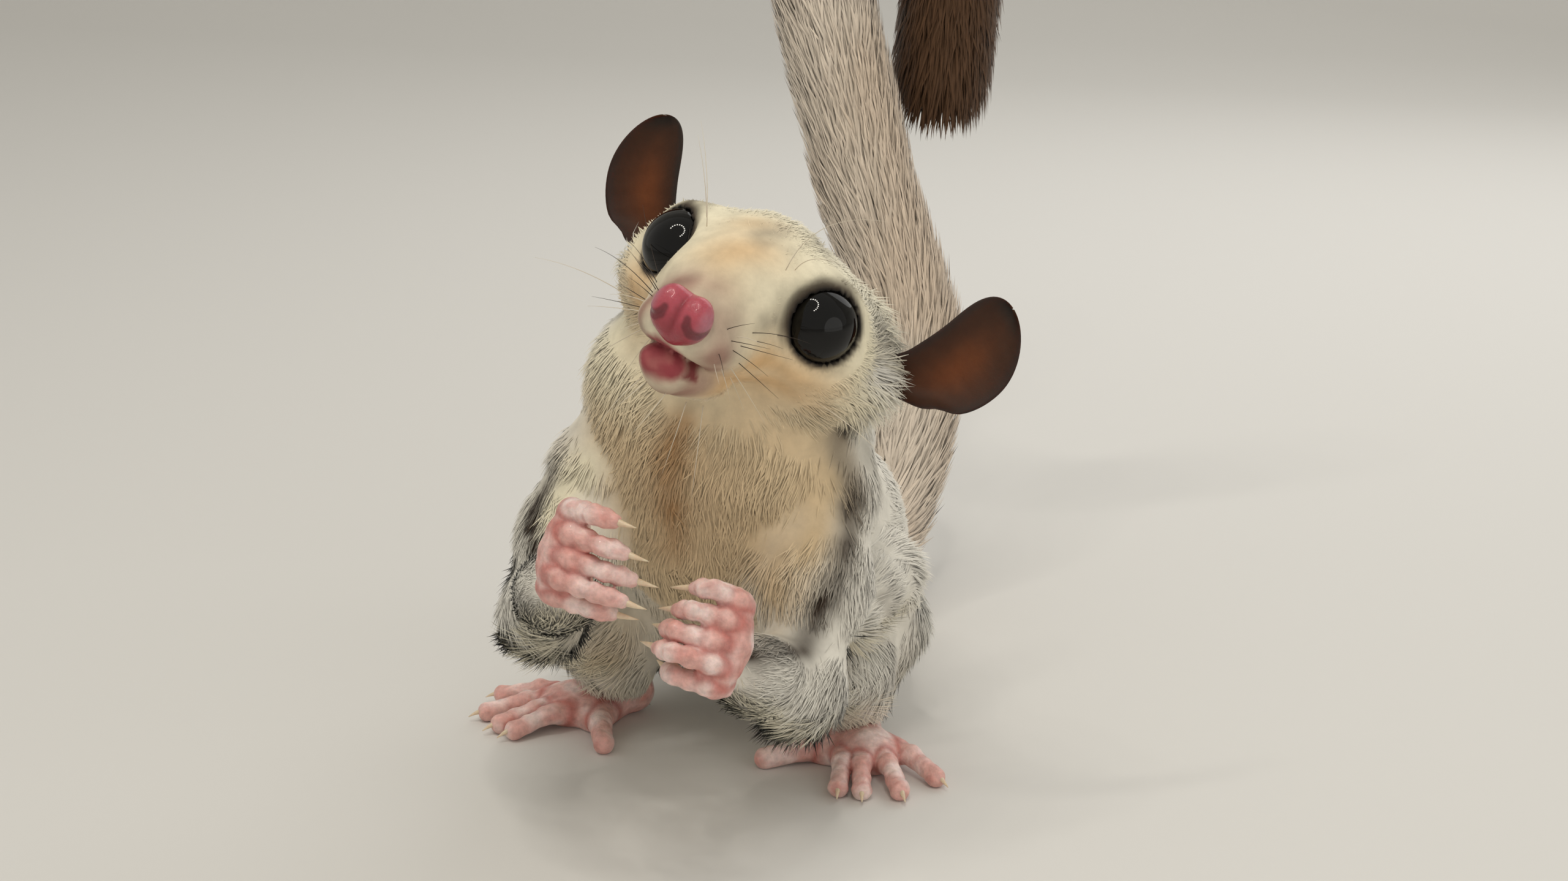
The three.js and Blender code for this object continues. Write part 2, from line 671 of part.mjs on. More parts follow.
const COLOURS = {
  cream: 0xe6dcc0,
  grey: 0xb9b9ae,
  pink: 0xd98f8c,
  nose: 0xc9606c,
  ear: 0x4a2a1e,
  eye: 0x0b0a0a,
  tail: 0xb7a08f,
  tip: 0x4c3524,
};
const model = new THREE.Group();

function put(name, shape, colour, roughness = 0.85) {
  const { vertProperties, triVerts, numProp } = shape.getMesh();
  const points = new Float32Array((vertProperties.length / numProp) * 3);
  for (let i = 0; i * 3 < points.length; i++) {
    points.set(vertProperties.subarray(i * numProp, i * numProp + 3), i * 3);
  }
  const geometry = new THREE.BufferGeometry();
  geometry.setAttribute("position", new THREE.BufferAttribute(points, 3));
  geometry.setIndex(new THREE.BufferAttribute(new Uint32Array(triVerts), 1));
  geometry.computeVertexNormals();
  const material = new THREE.MeshStandardMaterial({ color: colour, roughness, metalness: 0 });
  const mesh = new THREE.Mesh(geometry, material);
  mesh.name = name;
  model.add(mesh);
}

const bodyTool = bodySkin(GAP);
const headTool = headSkin(GAP + CAST_SLACK);
const eyeHoles = [eyeBall(1, GAP), eyeBall(-1, GAP)];

put("torso", cut(bodySkin(0), halfSpace(1), headTool, floorBlock), COLOURS.cream);
put("head", cut(join(headSkin(0), lidRim(1), lidRim(-1)), ...eyeHoles, noseShape(GAP)), COLOURS.cream);
put("jaw", cut(jawShape(), headTool), COLOURS.pink);
put("nose", noseShape(), COLOURS.nose, 0.4);
put("neck", cut(bodySkin(0), halfSpace(-1), headTool, jawShape(GAP)), COLOURS.cream);

for (const [name, side] of Object.entries({ left: 1, right: -1 })) {
  const arm = ARMS[name];
  const leg = LEGS[name];
  const fold = FOLDS[name];
  put("eye_" + name, eyeBall(side), COLOURS.eye, 0.05);
  put("ear_" + name, cut(earShape(side), headTool, bodyTool), COLOURS.ear, 0.6);
  put("upper_arm_" + name, cut(upperArm(arm, 0), bodyTool, headTool), COLOURS.grey);
  put("forearm_" + name, cut(forearm(arm, 0), upperArm(arm, GAP), bodyTool), COLOURS.grey);
  const hand = handShape(arm, HANDS[name], -side);
  put("hand_" + name, cut(hand, forearm(arm, GAP), bodyTool), COLOURS.pink, 0.5);
  put("thigh_" + name, cut(thigh(leg, 0), bodyTool, floorBlock), COLOURS.grey);
  put("shank_" + name, cut(shank(leg, 0), thigh(leg, GAP), bodyTool, floorBlock), COLOURS.grey);
  const flesh = [thigh(leg, GAP), shank(leg, GAP), upperArm(arm, GAP), forearm(arm, GAP), bodyTool];
  put("membrane_" + name, cut(foldSkin(fold, 0), ...flesh, floorBlock), COLOURS.grey);
  const heading = radians(-leg.turn);
  const toes = new THREE.Vector3(-Math.sin(heading), -Math.cos(heading), 0);
  const footMatrix = frameAt([leg.ankle[0], leg.ankle[1], 0], toes, new THREE.Vector3(0, 0, 1));
  const ankle = [shank(leg, GAP), thigh(leg, GAP), foldSkin(fold, GAP), bodyTool];
  put("foot_" + name, cut(footShape(footMatrix, -side), ...ankle, floorBlock), COLOURS.pink, 0.5);
}

for (const name of Object.keys(TAIL_PARTS)) {
  const tools = name === "tail_base" ? [bodyTool, floorBlock] : [];
  put(name, cut(tailLength(name), ...tools), name === "tail_tip" ? COLOURS.tip : COLOURS.tail);
}

// The origin is the middle of the flat under the rump.
model.position.y = -SPINE.rump[1];

export default model;
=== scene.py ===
import json
import math

import bpy
import numpy as np
import openvdb
from mathutils import Matrix

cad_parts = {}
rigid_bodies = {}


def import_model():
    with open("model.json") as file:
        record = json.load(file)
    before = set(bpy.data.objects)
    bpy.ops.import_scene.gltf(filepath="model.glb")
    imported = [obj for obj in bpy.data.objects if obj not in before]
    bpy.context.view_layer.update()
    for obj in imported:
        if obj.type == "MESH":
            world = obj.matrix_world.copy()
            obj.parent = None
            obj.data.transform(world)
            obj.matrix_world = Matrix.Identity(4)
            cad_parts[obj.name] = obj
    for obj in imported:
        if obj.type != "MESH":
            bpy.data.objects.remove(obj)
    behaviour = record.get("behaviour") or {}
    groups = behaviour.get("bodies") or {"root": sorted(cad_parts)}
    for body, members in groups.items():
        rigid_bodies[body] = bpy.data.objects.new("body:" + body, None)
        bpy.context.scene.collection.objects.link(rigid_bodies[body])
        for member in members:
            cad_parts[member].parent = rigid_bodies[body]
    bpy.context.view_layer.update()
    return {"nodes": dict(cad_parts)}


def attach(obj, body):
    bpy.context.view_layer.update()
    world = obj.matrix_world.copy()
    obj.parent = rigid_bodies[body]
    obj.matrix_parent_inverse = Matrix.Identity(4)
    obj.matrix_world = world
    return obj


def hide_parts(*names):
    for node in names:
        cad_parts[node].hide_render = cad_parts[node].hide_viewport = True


for old in list(bpy.data.objects):
    bpy.data.objects.remove(old)
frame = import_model()
print("frame loaded:", len(frame["nodes"]), "nodes")

rng = np.random.default_rng(11)

# All places are in millimetres in the animal's own frame: X to its left, -Y forward, Z up.
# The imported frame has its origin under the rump, 23 mm further back.
rumpBack = 23.0


def metres(p):
    return (np.asarray(p, float) - (0, rumpBack, 0)) * 0.001


def unit(v):
    v = np.asarray(v, float)
    return v / np.maximum(np.linalg.norm(v, axis=-1, keepdims=True), 1e-9)


def mix(a, b, t):
    return a + (b - a) * t


def smooth(low, high, x):
    t = np.clip((x - low) / (high - low), 0, 1)
    return t * t * (3 - 2 * t)


def linear(code):
    # a colour as it looks on a screen, turned into the light that a surface gives back
    c = np.array([int(code[i : i + 2], 16) for i in (1, 3, 5)]) / 255
    return np.where(c <= 0.04045, c / 12.92, ((c + 0.055) / 1.055) ** 2.4)


def rgba(code):
    return (*linear(code), 1)


def addObject(name, data):
    made = bpy.data.objects.new(name, data)
    bpy.context.scene.collection.objects.link(made)
    return made


def placed(place, x, y, z):
    # the matrix of an object that stands at a place and has its axes along x, y and z
    return Matrix.Translation(place) @ Matrix([x, y, z]).transposed().to_4x4()


# camera, floor and light
view = {
    "place": (118.0, -302.8, 138.4),
    "right": (0.94, 0.342, 0.0),
    "back": (0.3277, -0.9005, 0.2857),
    "lens": 60.0,
    "sensor": 36.0,
    "nearest": 0.01,
}


def makeCamera():
    back = unit(view["back"])
    right = unit(np.array(view["right"]) - back * np.dot(view["right"], back))
    camera = addObject("camera", bpy.data.cameras.new("camera"))
    camera.data.lens = view["lens"]
    camera.data.sensor_width = view["sensor"]
    camera.data.clip_start = view["nearest"]
    camera.matrix_world = placed(metres(view["place"]), right, np.cross(back, right), back)
    bpy.context.scene.camera = camera


studio = {
    # the floor in metres: half its width, how far back it bends up, and the bend's radius
    "floorSize": 3.0,
    "floorDepth": 0.55,
    "floorBend": 0.5,
    "bendSteps": 12,
    "floorColour": "#dbd9d5",
    "floorRoughness": 0.75,
    "worldColour": "#efece4",
    "worldStrength": 0.66,
    # an arc of small lamps over the head, which shows in the eyes as a short bright hook
    "arc": {
        "place": (-32, -214, 449),
        "aim": (14, -24, 65),
        "radius": 0.145,
        "angles": tuple(range(-50, 160, 17)),
        "size": 0.024,
        "power": 0.8,
        "colour": "#fffaf0",
    },
    "lights": {
        # name: place, aimed at, size, power, colour
        "fill": ((380, -180, 50), (5, -20, 35), 0.4, 0.28, "#f8f6f2"),
        "backdrop": ((-60, 330, 480), (0, 700, 150), 0.5, 0.3, "#ffffff"),
        "crown": ((130, 400, 350), (5, 0, 55), 0.5, 0.75, "#ffffff"),
    },
}


def lookAxes(place, aim):
    look = unit(place - aim)
    side = unit(np.cross((0, 1, 0.1), look))
    return side, np.cross(look, side), look


def addLamp(name, place, aim, size, power, colour):
    data = bpy.data.lights.new(name, "AREA")
    data.shape = "DISK"
    data.size = size
    data.energy = power
    data.color = linear(colour)
    lamp = addObject(name, data)
    lamp.matrix_world = placed(place, *lookAxes(place, aim))


def makeFloor():
    size, bend, depth = studio["floorSize"], studio["floorBend"], studio["floorDepth"]
    profile = [(-size, 0.0), (depth, 0.0)]
    for angle in np.linspace(0, math.pi / 2, studio["bendSteps"] + 1)[1:]:
        profile.append((depth + bend * math.sin(angle), bend - bend * math.cos(angle)))
    profile.append((depth + bend, size))
    verts = [(x, y, z) for y, z in profile for x in (-size, size)]
    faces = [(2 * i, 2 * i + 1, 2 * i + 3, 2 * i + 2) for i in range(len(profile) - 1)]
    mesh = bpy.data.meshes.new("floor")
    mesh.from_pydata(verts, [], faces)
    mesh.shade_smooth()
    material = bpy.data.materials.new("paleFloor")
    material.use_nodes = True
    shader = material.node_tree.nodes["Principled BSDF"]
    shader.inputs["Base Color"].default_value = rgba(studio["floorColour"])
    shader.inputs["Roughness"].default_value = studio["floorRoughness"]
    mesh.materials.append(material)
    addObject("floor", mesh)


def makeLights():
    world = bpy.data.worlds.new("studio")
    world.use_nodes = True
    sky = world.node_tree.nodes["Background"]
    sky.inputs["Color"].default_value = rgba(studio["worldColour"])
    sky.inputs["Strength"].default_value = studio["worldStrength"]
    bpy.context.scene.world = world
    for name, (place, aim, size, power, colour) in studio["lights"].items():
        addLamp(name, metres(place), metres(aim), size, power, colour)
    arc = studio["arc"]
    place, aim = metres(arc["place"]), metres(arc["aim"])
    side, rise, _ = lookAxes(place, aim)
    for n, angle in enumerate(np.radians(arc["angles"])):
        spot = place + arc["radius"] * (side * math.cos(angle) + rise * math.sin(angle))
        addLamp(f"arc_{n}", spot, aim, arc["size"], arc["power"] / len(arc["angles"]), arc["colour"])
    bpy.context.scene.view_settings.view_transform = "Standard"


makeCamera()
makeFloor()
makeLights()
print("camera, floor and lights ready")

# fields
# A field takes points and gives their distances to a surface, negative inside it.


def ball(centre, radii, pitch=0.0):
    centre = np.array(centre, float)
    radii = np.array(radii, float)
    turn = np.array(Matrix.Rotation(math.radians(pitch), 3, "X"))

    def field(p):
        q = ((p - centre) @ turn) / radii
        k = np.sqrt((q * q).sum(1))
        s = np.sqrt(((q / radii) ** 2).sum(1))
        return np.where(k < 1e-6, -radii.min(), k * (k - 1) / np.maximum(s, 1e-9))

    return field


def globe(centre, radius):
    return ball(centre, (radius,) * 3)


def rod(a, b, ra, rb):
    a, b = np.array(a, float), np.array(b, float)
    along = b - a

    def field(p):
        q = p - a
        t = np.clip(q @ along / (along @ along), 0, 1)
        d = q - t[:, None] * along
        return np.sqrt((d * d).sum(1)) - mix(ra, rb, t)

    return field


def chain(points, radii, k):
    return blend(k, *[rod(*points[i : i + 2], *radii[i : i + 2]) for i in range(len(points) - 1)])


def ring(centre, axis, radius, thick):
    centre, axis = np.array(centre, float), unit(axis)

    def field(p):
        q = p - centre
        h = q @ axis
        flat = np.sqrt(np.maximum((q * q).sum(1) - h * h, 0))
        return np.sqrt((flat - radius) ** 2 + h * h) - thick

    return field


def softMin(a, b, k):
    h = np.maximum(k - np.abs(a - b), 0) / k
    return np.minimum(a, b) - h * h * k / 4


def blend(k, *fields):
    def field(p):
        d = fields[0](p)
        for f in fields[1:]:
            d = softMin(d, f(p), k)
        return d

    return field


def carve(k, body, tool):
    return lambda p: -softMin(-body(p), tool(p), k)


def shrunk(field, depth):
    return lambda p: field(p) + (depth(p) if callable(depth) else depth)


def slopeOf(field, p, step=0.05):
    base = field(p)
    grad = np.stack([field(p + step * np.eye(3)[i]) - base for i in range(3)], 1) / step
    return base, grad


mesher = {
    "block": 6,  # cells along each side of a block
    "band": 3,  # cells on each side of the surface that are worked out
    "atOnce": 400000,  # points worked out in one go
    "flattest": 0.05,  # the least slope that a point is moved by
}


def skinOf(field, low, high, cell):
    # the zero surface of a field as points and four-sided faces, worked out in blocks near it
    side = mesher["block"]
    low = np.array(low, float)
    blocks = np.ceil((np.array(high) - low) / (cell * side)).astype(int)
    corners = low + np.indices(blocks).reshape(3, -1).T * side * cell
    inner = np.indices((side,) * 3).reshape(3, -1).T * cell
    rough = field(corners + (side - 1) * cell / 2)
    band = mesher["band"] * cell
    values = np.repeat(np.sign(rough)[:, None] * band, side**3, 1).astype(np.float32)
    near = np.flatnonzero(np.abs(rough) < side * cell * 1.5 + 1.0)
    for group in np.array_split(near, max(1, len(near) * side**3 // mesher["atOnce"])):
        p = (corners[group][:, None] + inner[None]).reshape(-1, 3)
        values[group] = np.clip(field(p), -band, band).reshape(len(group), -1)
    full = values.reshape(*blocks, side, side, side).transpose(0, 3, 1, 4, 2, 5)
    grid = openvdb.FloatGrid(band)
    grid.copyFromArray(np.ascontiguousarray(full.reshape(blocks * side)))
    points, quads = grid.convertToQuads(0.0)
    points = low + points.astype(float) * cell
    base, grad = slopeOf(field, points)
    step = grad * (base / np.maximum((grad * grad).sum(1), mesher["flattest"]))[:, None]
    points -= np.clip(step, -cell, cell)
    return points, quads.astype(np.int64)


def pointNormals(points, faces):
    a, b, c, d = (points[faces[:, i]] for i in range(4))
    flat = np.cross(c - a, d - b)
    normals = np.zeros_like(points)
    for i in range(4):
        for j in range(3):
            normals[:, j] += np.bincount(faces[:, i], flat[:, j], len(points))
    return unit(normals)


def addMesh(name, points, faces, normals=None):
    # faces is an array of rows, all with the same number of corners
    faces = np.asarray(faces)
    corners = faces.shape[1]
    mesh = bpy.data.meshes.new(name)
    mesh.vertices.add(len(points))
    mesh.vertices.foreach_set("co", metres(points).astype(np.float32).ravel())
    mesh.loops.add(faces.size)
    mesh.loops.foreach_set("vertex_index", faces.astype(np.int32).ravel())
    mesh.polygons.add(len(faces))
    mesh.polygons.foreach_set("loop_start", np.arange(0, faces.size, corners, dtype=np.int32))
    mesh.update(calc_edges=True)
    mesh.shade_smooth()
    if normals is not None:
        mesh.normals_split_custom_set_from_vertices(normals.astype(np.float32))
    return addObject(name, mesh)


def gridFaces(rows, columns, closed):
    # four-sided faces of a grid of points, each row of it closed to a ring or left open
    at = np.arange(rows * columns).reshape(rows, columns)
    after = np.roll(at, -1, 1)
    corners = np.stack([at[:-1], after[:-1], after[1:], at[1:]], -1)
    return (corners if closed else corners[:, :-1]).reshape(-1, 4)


def dress(made, slot, material, *replaced):
    # what every piece needs: its material, its body and the solids that it stands for
    made.data.materials.append(material)
    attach(made, "root")
    if replaced:
        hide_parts(*replaced)


def paint(made, colours, name="markings"):
    layer = made.data.attributes.new(name, "FLOAT_COLOR", "POINT")
    rows = np.ones((len(colours), 4), np.float32)
    rows[:, :3] = np.clip(colours, 0, 1)
    layer.data.foreach_set("color", rows.ravel())


def addMap(made, name, uv):
    # uv is one row for each corner of each face
    layer = made.data.uv_layers.new(name=name)
    layer.uv.foreach_set("vector", uv.astype(np.float32).ravel())


waves = rng.normal(size=(3, 9, 3))
wavePhase = rng.uniform(0, 2 * np.pi, (3, 9))


def ripple(p, size, channel=0):
    # a soft random value between about -1 and 1 that changes over the given size
    k = waves[channel] * (2.2 / size)
    return np.sin(p @ k.T + wavePhase[channel]).sum(1) / 4.2


# head
head = {
    "place": (12.3, -24.6, 69.0),
    "yaw": 1.7,
    "pitch": -15.5,
    "roll": 23.5,
    # the rest is in the head's own frame
    "noseTip": (0.0, -16.0, -4.5),
    "eyePlace": (9.4, 1.2, -0.5),
    "eyeWay": (0.66, -0.74, 0.12),
    "eyeRadius": 4.9,
    "moundRadius": 6.0,
    # the shallow dish before each eye: its radius and how far out its middle lies
    "dish": (9.0, 9.7),
    # the rim of the lids: how far out it lies and its radius, as shares of the eye's, and its thickness
    "rim": (0.34, 0.9, 0.8),
    "lidReach": 5.45,
    "depthOnFace": 0.35,
    "depthOnNape": 1.9,
}
headTurn = np.array(
    Matrix.Rotation(math.radians(head["yaw"]), 3, "Z")
    @ Matrix.Rotation(math.radians(head["pitch"]), 3, "X")
    @ Matrix.Rotation(math.radians(head["roll"]), 3, "Y")
)


def toHead(p):
    return (p - head["place"]) @ headTurn


def fromHead(q):
    return np.asarray(q, float) @ headTurn.T + head["place"]


def eyeCentre(side):
    return np.array(head["eyePlace"]) * (side, 1, 1)


def eyeAxis(side):
    return unit(head["eyeWay"]) * (side, 1, 1)


def eyeDistance(q):
    # how far a point of the head is from the nearer eye's middle
    near = [np.sqrt(((q - eyeCentre(side)) ** 2).sum(1)) for side in (1, -1)]
    return np.minimum(*near)


def mouthHeight(q):
    # height over the line of the mouth, with the places far from the mouth counted as far
    return (q[:, 2] + 9.4 - 0.25 * (q[:, 1] + 12)) + np.maximum(q[:, 1] + 9, 0) * 2


def headCoatDepth(q):
    # the coat is thin before the eyes, beside them and at the lips
    depth = mix(head["depthOnFace"], head["depthOnNape"], smooth(-13, 8, q[:, 1]))
    depth = depth * mix(0.12, 1.0, smooth(5.4, 9.0, eyeDistance(q)))
    return depth * mix(0.3, 1.0, smooth(1.5, 5.0, np.abs(mouthHeight(q))))


skull = blend(
    5,
    ball((0, 9.5, -2.6), (15.8, 13.6, 11.4)),
    ball((0, 2.5, 0.6), (9, 9, 9)),
    ball((0, -2, -3), (9.4, 10.5, 9)),
    rod((0, -4, -4.4), (0, -12.3, -5.3), 7.2, 4.4),
    ball((10.2, 7.8, -5.8), (8.4, 9, 7.8)),
    ball((-10.2, 7.8, -5.8), (8.4, 9, 7.8)),
)
lipPads = [ball((x, -11.3, -7.1), (3.5, 4.4, 2.7)) for x in (2.6, -2.6)]
mouth = blend(
    1.5,
    ball((0, -13.4, -10.2), (3.5, 5.2, 0.8), 12),
    ball((0, -13.4, -12.6), (4.4, 5.4, 2.6), 12),
)
jaw = blend(
    1.5,
    rod((0, -3, -10.4), (0, -11.2, -12), 4.8, 2.9),
    ball((-0.5, -12.2, -11.4), (3.3, 2.9, 2.3)),
    ball((0, -6, -11), (5.2, 6, 3.4)),
)


def makeHeadField():
    radius = head["eyeRadius"]
    dishRadius, dishGap = head["dish"]
    rimGap, rimRadius, rimThick = head["rim"]
    eyes = [(eyeCentre(side), eyeAxis(side)) for side in (1, -1)]
    mounds = [globe(place, head["moundRadius"]) for place, way in eyes]
    rims = [ring(place + way * radius * rimGap, way, radius * rimRadius, rimThick) for place, way in eyes]
    upper = shrunk(blend(2.5, skull, *mounds, *lipPads), headCoatDepth)
    upper = carve(1.0, upper, mouth)
    for place, way in eyes:
        upper = carve(1.2, upper, globe(place + way * dishGap, dishRadius))
    upper = blend(0.6, upper, *rims)
    for place, way in eyes:
        upper = carve(0.1, upper, globe(place, radius - 0.1))
    lower = shrunk(jaw, 0.2)
    return lambda p: softMin(upper(toHead(p)), lower(toHead(p)), 0.35)


headField = makeHeadField()

# trunk and limbs
trunk = {
    # places and radii of the body, from the rump up
    "rump": ((0, 23, 19), (19, 17.5, 19.6)),
    "loin": ((0.5, 8, 27), (22.5, 20, 20)),
    "chest": ((3.5, -10, 38), (19, 17.5, 18)),
    "nape": ((5.5, -13, 50), (17.5, 14.5, 13)),
    "shoulders": ((3.5, -4, 42), (15, 14, 12)),
    "collar": ((2, -13, 56), (13, 11, 9)),
    "throat": (10.5, -14.5, 61),
    "neckRadii": (15, 12.5),
}
trunkField = blend(
    10,
    *[ball(*trunk[place]) for place in ("rump", "loin", "chest", "nape", "shoulders")],
    rod(trunk["nape"][0], trunk["throat"], *trunk["neckRadii"]),
    ball(*trunk["collar"]),
)
trunkLine = [trunk["throat"], *[trunk[place][0] for place in ("nape", "chest", "loin", "rump")]]
arms = {
    # the cuff is where the fur ends, a little beyond the wrist
    "left": {
        "shoulder": (17.5, -14, 41),
        "elbow": (19.5, -26, 20),
        "wrist": (13, -39.5, 26),
        "cuff": (14.4, -40.5, 27.6),
    },
    "right": {
        "shoulder": (-9, -18, 42),
        "elbow": (-15, -25, 25),
        "wrist": (-3.5, -40, 35),
        "cuff": (-3.6, -42, 37),
    },
}
legs = {
    "left": {"hip": (11, 16, 17), "knee": (17, -2.5, 15), "ankle": (16, 4.6, 4), "turn": 26},
    "right": {"hip": (-11, 16, 17), "knee": (-17, -2.5, 15), "ankle": (-16, 4, 4), "turn": -50},
}
folds = {
    "left": [(22, -15, 24), (21, -7, 25.5), (20, 3, 24.5), (19.5, 9, 16), (18.6, 7, 8)],
    "right": [(-17.5, -18, 26), (-19.5, -8, 26.5), (-20, 3, 24.5), (-19.5, 9, 16), (-18.6, 7, 8)],
}
foldRadii = [4, 5.8, 6.6, 6.2, 4.4]


def limb(a, b, ra, rb):
    middle = mix(np.array(a, float), np.array(b, float), 0.45)
    return blend(3, rod(a, b, ra, rb), globe(middle, ra))


# The coat of each part of the furred body: how deep it is, the length and width of a tuft, and
# how many tufts there are on a square millimetre.
partCoats = {
    "head": (1.9, 3.4, 0.2, 15.0),
    "trunk": (2.5, 4.4, 0.26, 8.6),
    "upperArm": (2.0, 4.2, 0.26, 8.6),
    "forearm": (1.3, 3.0, 0.22, 10.0),
    "thigh": (2.2, 4.4, 0.27, 7.6),
    "shank": (1.3, 2.8, 0.22, 9.0),
    "membrane": (2.0, 4.2, 0.26, 8.6),
}
# The parts of each limb: where it starts and ends, and its two radii.
limbParts = {
    "upperArm": (arms, "shoulder", "elbow", 9, 6.6),
    "forearm": (arms, "elbow", "cuff", 6, 3.3),
    "thigh": (legs, "hip", "knee", 11.5, 8.4),
    "shank": (legs, "knee", "ankle", 7, 4),
}
parts = {}


def addPart(name, side, field, line):
    # a part has its field, the line that its coat lies along, and its coat
    depth, length, width, near = partCoats[name]
    parts[name + side] = {
        "field": field,
        "line": np.array(line, float),
        "depth": depth,
        "length": length,
        "width": width,
        "near": near,
    }


headLine = fromHead([(0, -14, -4), (0, 18, -2)])
addPart("head", "", lambda p: blend(3, skull, *lipPads, jaw)(toHead(p)), headLine)
addPart("trunk", "", trunkField, trunkLine)
for sideName in ("left", "right"):
    for name, (joints, start, end, *radii) in limbParts.items():
        line = [joints[sideName][start], joints[sideName][end]]
        addPart(name, "_" + sideName, limb(*line, *radii), line)
    addPart("membrane", "_" + sideName, chain(folds[sideName], foldRadii, 2), folds[sideName])

skinMesh = {
    "low": (-32, -48, -1),
    "high": (36, 45, 90),
    "cell": 0.5,
    "overFloor": 0.3,
    # how softly the parts run into each other
    "arm": 3.0,
    "leg": 2.0,
    "limb": 3.0,
    "membrane": 2.0,
    "head": 3.0,
}


def skinField(p):
    # the furred body without the depth of its coat
    under = {name: part["field"](p) + part["depth"] for name, part in parts.items() if name != "head"}
    skin = under["trunk"]
    for side in ("_left", "_right"):
        arm = softMin(under["upperArm" + side], under["forearm" + side], skinMesh["arm"])
        leg = softMin(under["thigh" + side], under["shank" + side], skinMesh["leg"])
        skin = softMin(softMin(skin, arm, skinMesh["limb"]), leg, skinMesh["limb"])
        skin = softMin(skin, under["membrane" + side], skinMesh["membrane"])
    skin = softMin(skin, headField(p), skinMesh["head"])
    return np.maximum(skin, skinMesh["overFloor"] - p[:, 2])


skinPoints, skinFaces = skinOf(skinField, skinMesh["low"], skinMesh["high"], skinMesh["cell"])
skin = addMesh("skin", skinPoints, skinFaces)
print("skin:", len(skinPoints), "points")


# hands and feet
# Each is worked out in a frame of its own: X across it, Y the way it reaches, Z its back.


def localFrame(place, reach, rise, mirror):
    y = unit(reach)
    x = unit(np.cross(y, rise))
    z = np.cross(x, y)
    axes = np.stack([x, y, z], 1)
    place = np.array(place, float)

    def inside(p):
        return ((p - place) @ axes) * (mirror, 1, 1)

    def outside(q):
        return (np.asarray(q, float) * (mirror, 1, 1)) @ axes.T + place

    return inside, outside


hands = {
    "cell": 0.24,
    "fingerRadius": 1.12,
    "pitch": 2.4,
    # a finger's radius along it, and how much of it the pads and the knuckles take
    "taper": (1.0, 0.96, 0.84, 0.8),
    "pads": (1.2, 1.14, 1.08),
    "knuckle": 1.01,
    # the skin between neighbouring fingers: how far along the first bone, how low, and its radius
    "webs": ((0.7, 0.0, 0.85), (1.0, 0.5, 0.6)),
    # the palm's middle and its two pads
    "palm": [
        ((0, -1.5, -0.4), (5.04, 2.1, 1.7)),
        ((-3.2, -2.4, -1.4), (1.8, 2.0, 1.6)),
        ((3.2, -2.4, -1.4), (1.8, 2.0, 1.6)),
    ],
    # the end of the rod from the wrist into the palm, and the radii of the rod
    "palmRoot": (0, -2.4, -0.6),
    "palmRadii": (2.1, 2.3),
    "clawLength": 3.2,
    "clawDrop": (0, -0.9, 0),
    "left": {
        "knuckles": (17.2, -42.3, 30.6),
        "reach": (0.3, -0.87, 0.38),
        "back": (0.927, 0.258, -0.249),
        "curl": (50, 90, 150),
    },
    "right": {
        "knuckles": (-3.8, -45.8, 40.8),
        "reach": (0.2, -0.95, 0.2),
        "back": (-0.92, -0.24, 0.29),
        "curl": (48, 80, 98),
    },
    # row, lengths of the three bones, fan and further curl in degrees
    "fingers": [
        (-2, (2.4, 3.3, 2.4), -15, -22),
        (-1, (2.8, 3.9, 2.6), -7, -6),
        (0, (3.3, 4.4, 2.9), 1, 5),
        (1, (3.1, 4.6, 3.0), 3, -4),
        (2, (2.5, 3.9, 2.6), 10, 8),
    ],
}


def fingerPoints(row, lengths, fan, more, curl):
    points = [np.array((row * hands["pitch"], -1.2 - 0.3 * row * row, 0.0))]
    turn = math.radians(fan)
    for length, angle in zip(lengths, curl):
        bend = math.radians(angle + more)
        level = math.cos(bend)
        step = np.array((math.sin(turn) * level, math.cos(turn) * level, -math.sin(bend)))
        points.append(points[-1] + step * length)
    return points


def handFields(sideName):
    hand = hands[sideName]
    mirror = -1 if sideName == "left" else 1
    inside, outside = localFrame(hand["knuckles"], hand["reach"], hand["back"], mirror)
    r = hands["fingerRadius"]
    wrist = inside(np.array([arms[sideName]["wrist"]], float))[0]
    digits = [fingerPoints(*finger, hand["curl"]) for finger in hands["fingers"]]
    fields = []
    for points in digits:
        middles = [mix(a, b, 0.5) for a, b in zip(points, points[1:])]
        pads = [globe(middle, r * share) for middle, share in zip(middles, hands["pads"])]
        knuckles = [globe(p + (0, 0.25, 0.2), r * hands["knuckle"]) for p in points[1:3]]
        bones = chain(points, [r * share for share in hands["taper"]], 0.4)
        fields.append(blend(0.5, bones, *pads, *knuckles))
    webs = []
    for share, drop, radius in hands["webs"]:
        ends = [mix(points[0], points[1], share) - (0, 0, drop) for points in digits]
        webs += [rod(a, b, radius, radius) for a, b in zip(ends, ends[1:])]
    palm = [ball(*pad) for pad in hands["palm"]]
    palm = blend(2, *palm, rod(wrist, hands["palmRoot"], *hands["palmRadii"]))
    return inside, outside, digits, fields, blend(0.6, palm, *webs)


feet = {
    "cell": 0.28,
    "toeRadius": 1.3,
    # the root and the tip of each toe, across and forward, and the heights along it
    "toes": [
        ((-2.2, 8), (-4.2, 17.6)),
        ((-0.2, 8.6), (-1.4, 18.8)),
        ((2.0, 8.4), (3.4, 19.4)),
        ((3.8, 6.8), (8.6, 15.8)),
    ],
    "heights": (1.9, 2.4, 1.25),
    "taper": (1.15, 1.0, 0.86, 1.02),
    "hallux": [(-2.4, 4.6, 1.7), (-7.4, 6.6, 1.9), (-12.6, 7.6, 1.3)],
    "halluxRadii": (2.0, 1.45, 1.45),
    "clawLength": 2.6,
    "clawDrop": (0, 0, -0.75),
}


